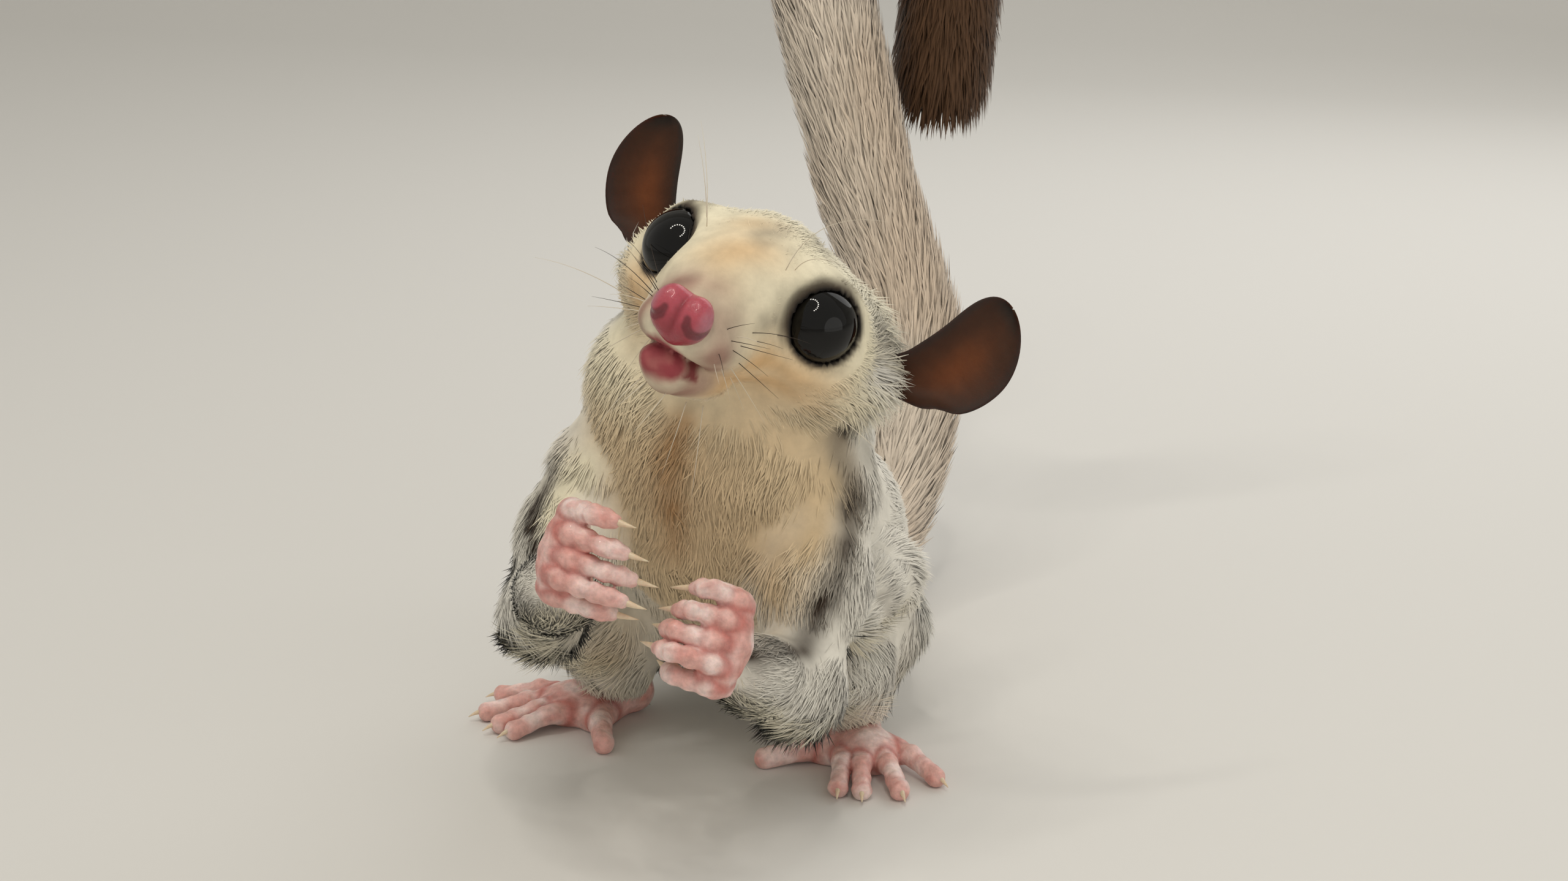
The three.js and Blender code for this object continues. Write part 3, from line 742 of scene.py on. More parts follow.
def footFields(sideName):
    leg = legs[sideName]
    mirror = -1 if sideName == "left" else 1
    heading = math.radians(-leg["turn"])
    toward = (-math.sin(heading), -math.cos(heading), 0)
    inside, outside = localFrame((leg["ankle"][0], leg["ankle"][1], 0), toward, (0, 0, 1), mirror)
    radii = [feet["toeRadius"] * share for share in feet["taper"]]
    digits = []
    fields = []
    for root, tip in feet["toes"]:
        root, tip = np.array(root, float), np.array(tip, float)
        flat = (root, (root + tip) / 2, tip)
        points = [np.append(p, height) for p, height in zip(flat, feet["heights"])]
        digits.append(points)
        line = [*points[:2], mix(points[1], points[2], 0.55), points[2]]
        fields.append(chain(line, radii, 0.5))
    fields.append(chain(feet["hallux"], feet["halluxRadii"], 0.8))
    sole = blend(
        2.5,
        rod((0, 0, 3.2), (0.4, 8, 2.0), 3.2, 3.0),
        ball((0.8, 9.4, 1.9), (4.4, 3.6, 2.2)),
        rod((-1.5, 4.5, 1.6), (-4.6, 6.6, 1.4), 2.2, 1.8),
    )
    return inside, outside, digits, fields, sole


bareSkin = {
    "pink": "#e2afa6",
    "pale": "#f2d9d3",
    "wrinkle": "#c97a70",
    # the creases' colour: partly the skin's own red, partly painted shade
    "creaseShade": "#b8564c",
    # height and size of the lumps, coarse and fine
    "lumps": ((0.09, 1.5), (0.05, 0.8)),
    "overFloor": 0.05,
}


def bareLimb(name, sideName):
    inside, outside, digits, fields, core = (handFields if name == "hand" else footFields)(sideName)

    def field(p):
        q = inside(p)
        fingers = fields[0](q)
        for f in fields[1:]:
            fingers = softMin(fingers, f(q), 0.35)
        return np.maximum(softMin(fingers, core(q), 1.2), bareSkin["overFloor"] - p[:, 2])

    ends = outside(np.concatenate([np.array(d) for d in digits]))
    low, high = ends.min(0) - 5, ends.max(0) + 5
    if name == "hand":
        wrist = np.array(arms[sideName]["wrist"], float)
        low, high = np.minimum(low, wrist - 4), np.maximum(high, wrist + 4)
    else:
        heel = np.array((*legs[sideName]["ankle"][:2], 2.0))
        extra = outside(np.array(feet["hallux"]))
        low = np.minimum(np.minimum(low, heel - 4.5), extra.min(0) - 2.5)
        high = np.maximum(np.maximum(high, heel + 5), extra.max(0) + 2.5)
    points, faces = skinOf(field, low, high, (hands if name == "hand" else feet)["cell"])
    lumps = sum(tall * ripple(points, size, n) for n, (tall, size) in enumerate(bareSkin["lumps"]))
    points = points + pointNormals(points, faces) * (lumps * smooth(0.2, 1.2, points[:, 2]))[:, None]
    made = addMesh(name + "Skin_" + sideName, points, faces)
    # redder in the creases between the digits, partly the skin's own colour and partly painted shade for the
    # shade that falls there, paler on their backs
    q = inside(points)
    every = np.sort(np.stack([f(q) for f in fields] + [core(q)]), axis=0)
    creaseShade = 1 - smooth(-0.1, 0.8, every[1] - every[0])
    blotch = smooth(-0.5, 0.9, ripple(points, 2.4, 1))[:, None]
    colour = mix(linear(bareSkin["pink"]), linear(bareSkin["pale"]), blotch)
    colour = mix(colour, linear(bareSkin["creaseShade"]), (creaseShade * 0.7)[:, None])
    wrinkle = smooth(0.2, 1.0, ripple(points, 0.9, 2))[:, None]
    paint(made, mix(colour, linear(bareSkin["wrinkle"]), wrinkle * 0.35))
    dress(made, "skin_pink", pinkSkin, name + "_" + sideName)
    return outside, digits


def tubes(name, lines, radii, sides):
    # tapered tubes with pointed ends, each along a row of points, all of one length
    lines = np.array(lines, float)
    count, steps = lines.shape[:2]
    tangent = unit(np.gradient(lines, axis=1))
    spare = np.where(np.abs(tangent[..., 2:]) > 0.9, [[1.0, 0, 0]], [[0, 0, 1.0]])
    across = unit(np.cross(tangent, spare))
    rise = np.cross(tangent, across)
    radii = np.broadcast_to(np.asarray(radii, float), (count, steps))[..., None, None]
    angle = 2 * np.pi * np.arange(sides) / sides
    rings = lines[:, :, None] + radii * (
        across[:, :, None] * np.cos(angle)[:, None] + rise[:, :, None] * np.sin(angle)[:, None]
    )
    points = np.concatenate([rings.reshape(count, -1, 3), lines[:, :1], lines[:, -1:]], 1)
    faces = []
    for j in range(sides):
        k = (j + 1) % sides
        for i in range(steps - 1):
            a, b = i * sides + j, i * sides + k
            faces += [(a, b, b + sides), (a, b + sides, a + sides)]
        faces.append((steps * sides, k, j))
        faces.append((steps * sides + 1, (steps - 1) * sides + j, (steps - 1) * sides + k))
    faces = np.array(faces)[None] + (np.arange(count) * points.shape[1])[:, None, None]
    return addMesh(name, points.reshape(-1, 3), faces.reshape(-1, 3))


def plainMaterial(name, colour, roughness, coat=0.0, glow=0.0, specular=0.5):
    material = bpy.data.materials.new(name)
    material.use_nodes = True
    shader = material.node_tree.nodes["Principled BSDF"]
    shader.inputs["Base Color"].default_value = rgba(colour)
    shader.inputs["Roughness"].default_value = roughness
    shader.inputs["Coat Weight"].default_value = coat
    shader.inputs["Coat Roughness"].default_value = 0.03
    shader.inputs["Specular IOR Level"].default_value = specular
    if glow:
        shader.inputs["Subsurface Weight"].default_value = glow
        shader.inputs["Subsurface Radius"].default_value = (1.0, 0.35, 0.2)
        shader.inputs["Subsurface Scale"].default_value = 0.0015
    return material


def addNode(tree, kind, **values):
    node = tree.nodes.new(kind)
    for key, value in values.items():
        if hasattr(node, key):
            setattr(node, key, value)
        else:
            node.inputs[key.replace("_", " ")].default_value = value
    return node


def mottledMaterial(name, dark, light, grain, roughness, **more):
    # two colours that run into each other in fine spots
    material = plainMaterial(name, dark, roughness, **more)
    tree = material.node_tree
    place = addNode(tree, "ShaderNodeTexCoord")
    noise = addNode(tree, "ShaderNodeTexNoise", Scale=grain, Detail=3.0, Roughness=0.6)
    tree.links.new(place.outputs["Object"], noise.inputs["Vector"])
    blur = addNode(tree, "ShaderNodeMix", data_type="RGBA")
    colours = [socket for socket in blur.inputs if socket.type == "RGBA"]
    colours[0].default_value = rgba(dark)
    colours[1].default_value = rgba(light)
    tree.links.new(noise.outputs["Fac"], blur.inputs["Factor"])
    result = [socket for socket in blur.outputs if socket.type == "RGBA"][0]
    tree.links.new(result, tree.nodes["Principled BSDF"].inputs["Base Color"])
    return material


def grainOnMarks(material, source, noise, low, high, strength, depth):
    # colour from the markings, broken up by a noise that also raises the surface
    tree = material.node_tree
    shader = tree.nodes["Principled BSDF"]
    marks = addNode(tree, "ShaderNodeAttribute", attribute_name="markings")
    tree.links.new(source, noise.inputs["Vector"])
    ramp = addNode(tree, "ShaderNodeMapRange", From_Min=0.3, From_Max=0.7, To_Min=low, To_Max=high)
    tree.links.new(noise.outputs["Fac"], ramp.inputs["Value"])
    shade = addNode(tree, "ShaderNodeVectorMath", operation="SCALE")
    tree.links.new(marks.outputs["Color"], shade.inputs[0])
    tree.links.new(ramp.outputs["Result"], shade.inputs["Scale"])
    tree.links.new(shade.outputs["Vector"], shader.inputs["Base Color"])
    bump = addNode(tree, "ShaderNodeBump", Strength=strength, Distance=depth)
    tree.links.new(noise.outputs["Fac"], bump.inputs["Height"])
    tree.links.new(bump.outputs["Normal"], shader.inputs["Normal"])


def markedMaterial(name, roughness, grain, strength, depth, glow=0.0, coat=0.0, specular=0.4):
    material = plainMaterial(name, "#ffffff", roughness, coat, glow, specular)
    tree = material.node_tree
    place = addNode(tree, "ShaderNodeTexCoord").outputs["Object"]
    noise = addNode(tree, "ShaderNodeTexNoise", Scale=grain, Detail=4.0, Roughness=0.6)
    grainOnMarks(material, place, noise, 1 - strength, 1 + strength * 0.4, 1.0, depth)
    return material


pinkSkin = markedMaterial("pinkSkin", 0.5, 1100.0, 0.24, 0.00016, glow=0.25, coat=0.08)
clawHorn = mottledMaterial("clawHorn", "#c9a98a", "#ecdcc0", 1500.0, 0.35, coat=0.3, glow=0.2)

claws = []
for sideName in ("left", "right"):
    for name, limbKind in (("hand", hands), ("foot", feet)):
        outside, digits = bareLimb(name, sideName)
        for digit in digits:
            tip = digit[-1]
            along = unit(tip - digit[-2])
            if name == "hand":
                along = unit(along + (0, 0.35, 0))
            else:
                along = unit(along * (1, 1, 0))
                tip = tip + (0, 0, 0.25)
            steps = np.linspace(-0.25, 1, 8)[:, None]
            drop = np.array(limbKind["clawDrop"]) * np.maximum(steps, 0) ** 2
            claws.append(outside(tip + along * steps * limbKind["clawLength"] + drop))
clawRadii = [0.45, 0.5, 0.48, 0.42, 0.34, 0.25, 0.15, 0.05]
dress(tubes("claws", claws, clawRadii, 8), "skin_pink", clawHorn)
print("hands, feet and claws ready")

# eyes
eyes = {
    "around": 64,
    "down": 32,
    "gap": 0.02,
    # dark and light, grain and roughness
    "gloss": ("#020202", "#070504", 700.0, 0.03),
    "specular": 0.3,
}
eyeGloss = mottledMaterial("eyeGloss", *eyes["gloss"], specular=eyes["specular"])


def makeEye(side, sideName):
    # a ball of rings round the way that the eye looks, closed by a point at each end
    around, down = eyes["around"], eyes["down"]
    angle = 2 * np.pi * np.arange(around) / around
    tilt = np.pi * np.arange(1, down) / down
    axis = eyeAxis(side)
    u = unit(np.cross(axis, (0, 0, 1)))
    v = np.cross(axis, u)
    flat = u * np.cos(angle)[:, None] + v * np.sin(angle)[:, None]
    rings = axis * np.cos(tilt)[:, None, None] + flat[None] * np.sin(tilt)[:, None, None]
    points = np.concatenate([rings.reshape(-1, 3), axis[None], -axis[None]])
    quads = gridFaces(down - 1, around, True)
    top = np.full(around, (down - 1) * around)
    j = np.arange(around)
    k = (j + 1) % around
    last = (down - 2) * around
    caps = [np.stack([top, k, j], 1), np.stack([top + 1, last + j, last + k], 1)]
    faces = np.concatenate([quads[:, [0, 1, 2]], quads[:, [0, 2, 3]], *caps])
    a, b, c = points[faces[0]]
    if np.dot(np.cross(b - a, c - a), a) < 0:
        faces = faces[:, ::-1]
    world = fromHead(eyeCentre(side) + points * (head["eyeRadius"] - eyes["gap"]))
    dress(addMesh("eyeGlobe_" + sideName, world, faces), "eye_gloss", eyeGloss, "eye_" + sideName)


for side, sideName in ((1, "left"), (-1, "right")):
    makeEye(side, sideName)
print("eyes ready")

# nose
nose = {
    "cell": 0.13,
    "middle": (0, -16, -5),
    "reach": 5,
    "wing": ((1.65, -16.2, -4.9), (2.1, 1.9, 2.7)),
    "pad": ((0, -15.2, -5.6), (3.0, 2.1, 3.1)),
    "groove": [(0, -18.4, -2.4), (0, -18.3, -4.8), (0, -17.6, -8.4)],
    "grooveRadii": (0.24, 0.36, 0.34),
    # the comma of a nostril, from its round inner end out to its slit
    "nostril": [
        (1.5, -18.35, -5.0),
        (1.75, -18.3, -5.9),
        (2.5, -17.9, -6.5),
        (3.4, -17.1, -6.3),
        (4.0, -16.0, -5.3),
    ],
    "nostrilRadii": (0.24, 0.36, 0.36, 0.28, 0.18),
    "rose": "#b44c5a",
    "low": "#8c1f2c",
    "side": "#b08795",
    # painted shade down the groove in the middle of the nose
    "grooveShade": "#8a2632",
    # the nostrils' darkness is painted shade
    "deep": "#4a0c14",
}
nosePads = blend(1.0, ball(*nose["wing"]), ball(*nose["pad"]))
noseGroove = chain(nose["groove"], nose["grooveRadii"], 0.2)
nostril = chain(nose["nostril"], nose["nostrilRadii"], 0.25)


def mirrored(q):
    return np.column_stack([np.abs(q[:, 0]), q[:, 1], q[:, 2]])


def noseField(q):
    return carve(0.3, carve(0.5, nosePads, noseGroove), nostril)(mirrored(q))


def makeNose():
    middle = fromHead(nose["middle"])
    low, high = middle - nose["reach"], middle + nose["reach"]
    points, faces = skinOf(lambda p: noseField(toHead(p)), low, high, nose["cell"])
    made = addMesh("noseSkin", points, faces)
    q = toHead(points)
    # painted shade in the nostrils
    deep = 1 - smooth(0.12, 0.5, nostril(mirrored(q)))
    # painted shade along the groove down the middle
    grooveShade = np.exp(-((q[:, 0] / 0.4) ** 2)) * smooth(-16.5, -17.5, q[:, 1])
    colour = mix(linear(nose["rose"]), linear(nose["low"]), smooth(-4.2, -7.5, q[:, 2])[:, None] * 0.6)
    colour = mix(colour, linear(nose["side"]), smooth(2.2, 3.8, np.abs(q[:, 0]))[:, None] * 0.5)
    colour = mix(colour, linear(nose["grooveShade"]), grooveShade[:, None] * 0.7)
    paint(made, mix(colour, linear(nose["deep"]), deep[:, None] * 0.65))
    moist = markedMaterial("moistNose", 0.32, 1500.0, 0.12, 0.00010, glow=0.3, coat=0.35)
    dress(made, "nose_skin", moist, "nose")


makeNose()
print("nose ready")

# ears
ears = {
    "rows": 44,
    "columns": 28,
    "length": 17.2,
    "width": 10.6,
    "thick": 0.6,
    "cup": 2.8,
    # the widest place and the depth of the root, as shares of the length
    "widest": 0.56,
    "rooted": 0.25,
    # the notch in the outer edge: how deep, where and how long
    "notch": (0.16, 0.17, 0.07),
    # how far its tip leans in, how far its middle bows out, and how far its root turns in
    "lean": 1.0,
    "bow": 1.9,
    "inward": 3.2,
    "ridges": 0.05,
    "inner": "#372011",
    "glow": "#6a3818",
    "innerRim": "#2a221c",
    "outer": "#40342c",
    "outerRim": "#2e2824",
    "left": {"root": (18.9, 13, -4.2), "aim": (0.43, 0.34, 0.84), "face": (0.3, -0.94, 0.1)},
    "right": {"root": (-16.9, 12, -4.2), "aim": (-0.44, 0.06, 0.89), "face": (-0.3, -0.94, 0.1)},
}


def earSheet(side, offset):
    # one face of an ear, with how far along and across it each point lies
    rows, columns, widest = ears["rows"], ears["columns"], ears["widest"]
    t = mix(-ears["rooted"], 1, 0.5 - 0.5 * np.cos(np.pi * np.arange(rows + 1) / rows))[:, None]
    s = np.linspace(-1, 1, columns + 1)[None]
    reach = np.where(t < widest, widest + 0.1, 1 - widest)
    leaf = np.sqrt(np.maximum(0, 1 - (np.abs(t - widest) / reach) ** 2.3))
    notchDepth, notchPlace, notchLength = ears["notch"]
    notch = notchDepth * np.exp(-(((t - notchPlace) / notchLength) ** 2)) * (s * side > 0)
    half = ears["width"] / 2 * np.maximum(np.where(t < 0.3, 0.44, 0.02), leaf - notch)
    above = np.maximum(t, 0)
    lean = side * (ears["bow"] * np.sin(np.pi * above) - ears["lean"] * above**2)
    lean = lean - side * ears["inward"] * smooth(0.25, -0.25, t)
    thin = 1 - s**4
    cup = (1 - s * s) * ears["cup"] * (1 - 0.55 * t)
    ridges = ears["ridges"] * np.sin(t * 46 + s * s * 3) * smooth(0.15, 0.3, t) * thin * smooth(0.95, 0.6, t)
    across = s * half + lean
    deep = cup - offset * (0.3 + 0.7 * thin) + ridges
    t, s = np.broadcast_arrays(t, s)
    return np.stack([across, deep, t * ears["length"]], -1).reshape(-1, 3), t.ravel(), s.ravel()


def makeEar(side, sideName):
    front, t, s = earSheet(side, ears["thick"])
    rear = earSheet(side, 0.0)[0]
    ear = ears[sideName]
    up = unit(ear["aim"])
    face = np.array(ear["face"], float)
    back = -unit(face - up * np.dot(face, up))
    axes = np.stack([np.cross(back, up), back, up], 1)
    local = np.concatenate([front, rear]) @ axes.T + ear["root"]
    w = ears["columns"] + 1
    quads = gridFaces(ears["rows"] + 1, w, False)
    other = len(front)
    faces = [quads, other + quads[:, [0, 3, 2, 1]]]
    # the edges between the two faces: root, tip, and the two sides
    root = np.arange(ears["columns"])
    tip = ears["rows"] * w + root
    left = np.arange(ears["rows"]) * w
    right = left + ears["columns"]
    faces.append(np.stack([root, other + root, other + root + 1, root + 1], 1))
    faces.append(np.stack([tip, tip + 1, other + tip + 1, other + tip], 1))
    faces.append(np.stack([left, left + w, other + left + w, other + left], 1))
    faces.append(np.stack([right, other + right, other + right + w, right + w], 1))
    made = addMesh("earSkin_" + sideName, fromHead(local), np.concatenate(faces))
    # warm brown inside, glowing redder towards the middle, with a dark grey rim and back
    rim = np.maximum(smooth(0.72, 0.98, np.abs(s)), smooth(0.86, 0.99, t))[:, None]
    middle = np.exp(-((s / 0.5) ** 2)) * np.exp(-(((t - 0.45) / 0.3) ** 2))
    inner = mix(linear(ears["inner"]), linear(ears["glow"]), middle[:, None])
    inner = mix(inner, linear(ears["innerRim"]), rim)
    outer = mix(linear(ears["outer"]), linear(ears["outerRim"]), rim)
    paint(made, np.concatenate([inner, outer]))
    dress(made, "ear_skin", earSkin, "ear_" + sideName)


earSkin = markedMaterial("earSkin", 0.6, 500.0, 0.16, 0.00008, glow=0.15, specular=0.25)
for side, sideName in ((1, "left"), (-1, "right")):
    makeEar(side, sideName)
print("ears ready")

# markings
# A mark is a place or a line of places, how far it reaches, its colour and its strength.
markings = {
    "cream": "#f2e9cd",
    "straw": "#e4cba4",
    "honey": "#dfb580",
    "rust": "#a8743a",
    "white": "#f1ece0",
    "grey": "#bfb9ab",
    "smoke": "#776e62",
    "sable": "#3a2c20",
    "lid": "#17110d",
    "mauve": "#a98777",
    "muzzle": "#cdb0a6",
    "lip": "#963f46",
    "paleLip": "#b26a66",
    "throat": "#7a3434",
    # the side of each eye that its dark patch is on, and the line of the loose fur before each ear
    "patchWay": (-0.75, -0.25, 0.6),
    "loose": [(16.4, 8.6, -4.6), (13.5, 9.5, 4.5)],
    # places on the head are in the head's own frame
    "head": [
        ([(0, -11, 2.2), (0.5, -6, 6)], 4.5, "honey", 0.6),
        ([(0.6, -6.0, 6.4), (1.6, -2.9, 8.4)], 1.6, "smoke", 0.45),
        ([(5.0, 3.3, 9.2), (3, 10, 9)], 2.2, "smoke", 0.5),
    ],
    # these are on both sides of the head
    "bothSides": [
        ([(9, -6, -7), (12, 2, -8), (6, -6, -11)], 4.6, "honey", 0.75),
        (
            [(2.0, -14.8, -1.8), (4.1, -14.4, -3.7), (5.1, -13.9, -7.0), (3.7, -10.8, -11.6)],
            2.9, "mauve", 0.85,
        ),
        ([(0.5, -11.6, -14.4), (3, -10.5, -13.6)], 2.6, "mauve", 0.8),
        ([(7.0, -9.4, -2.0), (7.0, -6.5, -1.4)], 1.1, "smoke", 0.5),
        ([(17, 9, 1.5), (17.1, 13.4, 0.6)], 2.5, "smoke", 0.9),
        ([(18, 7.5, -2.5), (18.5, 8.5, -6)], 2.2, "white", 0.85),
        ([(17.6, 10.5, -9.6), (16.8, 12.5, -12)], 1.9, "sable", 0.8),
    ],
    "body": [
        ([(5.1, -30.4, 52), (3.3, -30.2, 42.7), (3, -29, 34)], 2.4, "rust", 0.6),
        ([(21.3, -20.5, 45), (20.2, -24.5, 40), (18.2, -27.2, 34.8)], 4.4, "straw", 1.0),
        ([(10.5, -27, 37), (15.0, -27.2, 35)], 4.6, "straw", 0.9),
        (
            [(25.6, -18.5, 44), (25.4, -22, 38.7), (24, -26.4, 33.1),
             (21.6, -29.9, 27.4), (18.7, -36.1, 27.6), (16.8, -39.6, 30)],
            2.2, "sable", 1.0,
        ),
        ([(-12.3, -28.0, 40.6), (-10.4, -27, 44.4)], 3.6, "cream", 1.0),
        (
            [(-15.4, -24.6, 45.2), (-16.0, -27.2, 40), (-14.6, -30.0, 35.8), (-11.8, -34, 34)],
            1.6, "sable", 1.0,
        ),
        # painted shade: a darker smoke mark along the left forearm
        ([(20.5, -28.5, 23), (17.5, -36, 25)], 3.2, "smoke", 0.35),
        ([(-10.8, -37, 28.6)], 2.4, "sable", 0.8),
        ([(22.9, -20.2, 49.5), (24, -18.7, 44.5), (25.3, -19.5, 39.5)], 2.4, "smoke", 0.5),
        ([(24.9, -12.1, 46.6), (26, -8, 38)], 2.6, "grey", 0.6),
        ([(26.3, -11, 27), (25.5, -3, 18), (24, 1, 11)], 1.8, "smoke", 0.5),
        ([(9, 0, 66), (6, 6, 60), (4, 26, 45), (0, 40, 27)], 3.4, "smoke", 0.55),
        ([(-12.7, -9.3, 13.4), (-4, -14, 16), (9, -14, 15)], 5.5, "straw", 0.85),
        ([(-16, 12, 40), (-20, 18, 28)], 4.0, "grey", 0.5),
    ],
}


def fromLine(p, line):
    # the distance to a line of places, the way along it, and how far along it that is
    line = np.array(line, float)
    if len(line) == 1:
        return np.sqrt(((p - line[0]) ** 2).sum(1)), np.zeros_like(p), np.zeros(len(p))
    gaps, ways, shares = [], [], []
    start = 0.0
    for a, b in zip(line, line[1:]):
        along = b - a
        long = np.linalg.norm(along)
        t = np.clip((p - a) @ along / long**2, 0, 1)
        gaps.append(np.sqrt(((p - a - t[:, None] * along) ** 2).sum(1)))
        ways.append(along / long)
        shares.append(start + t * long)
        start += long
    gaps = np.array(gaps)
    best = gaps.min(0)
    pull = np.exp(-(gaps - best) / 3)
    way = unit((pull[..., None] * np.array(ways)[:, None]).sum(0))
    nearest = np.take_along_axis(np.array(shares), gaps.argmin(0)[None], 0)[0]
    return best, way, nearest / start


def shares(p):
    # how much each part of the body counts at a point
    values = np.stack([part["field"](p) for part in parts.values()])
    pull = np.exp(-(values - values.min(0)) / 1.5)
    return pull / pull.sum(0)


def lidShare(q):
    # how much of the bare rim of an eye there is at a point of the head
    return smooth(head["lidReach"], head["lidReach"] - 0.3, eyeDistance(q))


def coatColour(p, pull):
    # the colour of the coat at a point on its outer surface
    tints = {key: linear(code) for key, code in markings.items() if isinstance(code, str)}
    wave = ripple(p, 9.0, 1)
    middle = np.abs(p[:, 0] - 5 - 0.1 * (p[:, 2] - 40))
    ventral = smooth(-3, -15, p[:, 1] + 0.55 * middle + 3 * wave)[:, None]
    front = mix(tints["straw"], tints["cream"], smooth(48, 62, p[:, 2])[:, None])
    bases = {"head": tints["cream"], "trunk": mix(tints["white"], front, ventral)}
    limbColour = mix(tints["white"], tints["grey"], smooth(0.2, 1.1, wave)[:, None] * 0.5)
    colour = np.zeros_like(p)
    for share, part in zip(pull, parts):
        colour += share[:, None] * bases.get(part, limbColour)
    q = toHead(p)
    for places, kind in ((q, "head"), (mirrored(q), "bothSides"), (p, "body")):
        for line, reach, tint, strength in markings[kind]:
            gap = fromLine(places, line)[0]
            near = np.exp(-((gap / reach) ** 2)) * (1 + 0.35 * ripple(p, reach * 0.8, 2))
            colour = mix(colour, tints[tint], np.clip(near * strength, 0, 1)[:, None])
    # a dark patch at the inner and upper side of each eye, and a thin dark line all round it
    eyeGap = eyeDistance(q)
    inward = unit(mirrored(q) - eyeCentre(1)) @ unit(markings["patchWay"])
    patch = smooth(7.3, 5.5, eyeGap + 0.35 * ripple(p, 2.0)) * smooth(-0.25, 0.4, inward)
    colour = mix(colour, tints["sable"], patch[:, None] * 0.9)
    colour = mix(colour, tints["sable"], smooth(5.9, 5.3, eyeGap)[:, None] * 0.9)
    return mix(colour, tints["lid"], lidShare(q)[:, None])


def lipShare(q):
    # how much of the bare lower lip there is at a point of the head
    front = ball((-0.6, -14.4, -10.8), (3.0, 3.4, 2.3))(q)
    return smooth(0.8, -0.5, front + 0.3 * ripple(q, 1.3))


def coatFlow(p, normal, pull):
    # the way that the coat lies, along the surface
    q = toHead(p)
    lie = unit(q - head["noseTip"]) @ headTurn.T
    flow = np.zeros_like(p)
    for share, (name, part) in zip(pull, parts.items()):
        way = lie
        if name != "head":
            way = fromLine(p, part["line"])[1]
        flow += share[:, None] * way
    flow += 0.32 * np.stack([ripple(p, 5.0, i) for i in range(3)], 1)
    flow += 0.2 * np.stack([ripple(p, 1.7, i) for i in (1, 2, 0)], 1)
    flow -= normal * (flow * normal).sum(1)[:, None]
    return unit(flow)


# coat
coat = {
    "lift": 10.5,  # degrees that a tuft starts off from the skin
    "leastLift": 6,
    "mostLift": 50,
    "sunk": 0.35,  # how far its root stands in the skin
    "wild": 0.17,  # how far its way strays from its neighbours'
    "soft": 0.88,  # how much its shading is the skin's
    "flat": 0.42,  # its thickness as a share of its width
    "rootShade": 0.92,
    "tipShade": 1.05,
    "patch": 0.003,  # the size of its patch on the bake map
    "most": 195000,  # triangles in a piece
    # rings of three points: how far along the tuft the last one is, and their widths
    "rings": {2: (0.55, (0.75, 0.9)), 3: (0.72, (0.7, 1.0, 0.62))},
    "roughness": 0.62,
    "specular": 0.25,
    "sheen": 0.25,
    "sheenRoughness": 0.45,
    "hairLines": 14.0,
}


def rootsOn(points, faces, normals, near):
    # places spread over the faces, near of them for each square millimetre of a face
    a, b, c, d = (points[faces[:, i]] for i in range(4))
    area = np.linalg.norm(np.cross(c - a, d - b), axis=1) / 2
    count = np.floor(area * near + rng.random(len(faces))).astype(int)
    face = np.repeat(np.arange(len(faces)), count)
    u, v = rng.random((2, len(face), 1))
    weights = [(1 - u) * (1 - v), u * (1 - v), u * v, (1 - u) * v]
    root = sum(w * points[faces[face, i]] for i, w in enumerate(weights))
    normal = unit(sum(w * normals[faces[face, i]] for i, w in enumerate(weights)))
    return root, normal, face


def growTufts(root, normal, flow, length, width, colour, home, lift, steps=2):
    # solid tapered tufts: rings of three points and a tip, bent over towards the skin
    count = len(root)
    lift = np.radians(lift)[:, None]
    start = unit(flow * np.cos(lift) + normal * np.sin(lift))
    end = unit(flow * np.cos(lift * 0.1) + normal * np.sin(lift * 0.1))
    last, swell = coat["rings"][steps]
    t = np.append(np.linspace(0, last, steps), 1.0)
    bent = t[:, None] * start[:, None] + (t**2 / 2)[:, None] * (end - start)[:, None]
    line = (root - normal * coat["sunk"])[:, None] + length[:, None, None] * bent
    side = unit(np.cross(start, normal))
    rise = np.cross(side, start) * coat["flat"]
    angle = np.radians([90, 210, 330])
    circle = side[:, None] * np.cos(angle)[:, None] + rise[:, None] * np.sin(angle)[:, None]
    rings = line[:, :steps, None] + circle[:, None] * (np.array(swell) * width[:, None] / 2)[..., None, None]
    bulge = np.concatenate([np.repeat(circle[:, None], steps, 1).reshape(count, -1, 3), end[:, None]], 1)
    shade = mix(coat["rootShade"], coat["tipShade"], np.sqrt(t))
    shade = np.append(np.repeat(shade[:steps], 3), shade[-1])
    faces = []
    for n in range(3):
        k = (n + 1) % 3
        for i in range(0, 3 * (steps - 1), 3):
            faces += [(i + n, i + 3 + k, i + k), (i + n, i + 3 + n, i + 3 + k)]
        faces.append((3 * (steps - 1) + n, 3 * steps, 3 * (steps - 1) + k))
    faces = np.array(faces)
    corner = faces.ravel()
    # a small patch of the bake map for each tuft, and a map that runs along it
    star = np.stack([np.cos(angle), np.sin(angle)], 1)
    spread = np.concatenate([*(star * r for r in (0.5, 0.3, 0.15)[:steps]), [[0, 0]]]) * coat["patch"]
    across = np.append(np.tile([0.5, 0.0, 1.0], steps), 0.5)[corner]
    along = np.append(np.repeat(t[:steps], 3), 1.0)[corner]
    lengthwise = along * length[:, None] + rng.random((count, 1)) * 50
    crosswise = across * width[:, None] + rng.random((count, 1)) * 50
    return {
        "points": np.concatenate([rings.reshape(count, -1, 3), line[:, steps:]], 1),
        "normals": unit(unit(bulge) * (1 - coat["soft"]) + normal[:, None] * coat["soft"]),
        "colours": colour[:, None] * shade[:, None],
        "bake": home[:, None] + spread[corner],
        "strand": np.stack([crosswise, lengthwise], -1),
        "faces": faces,
    }


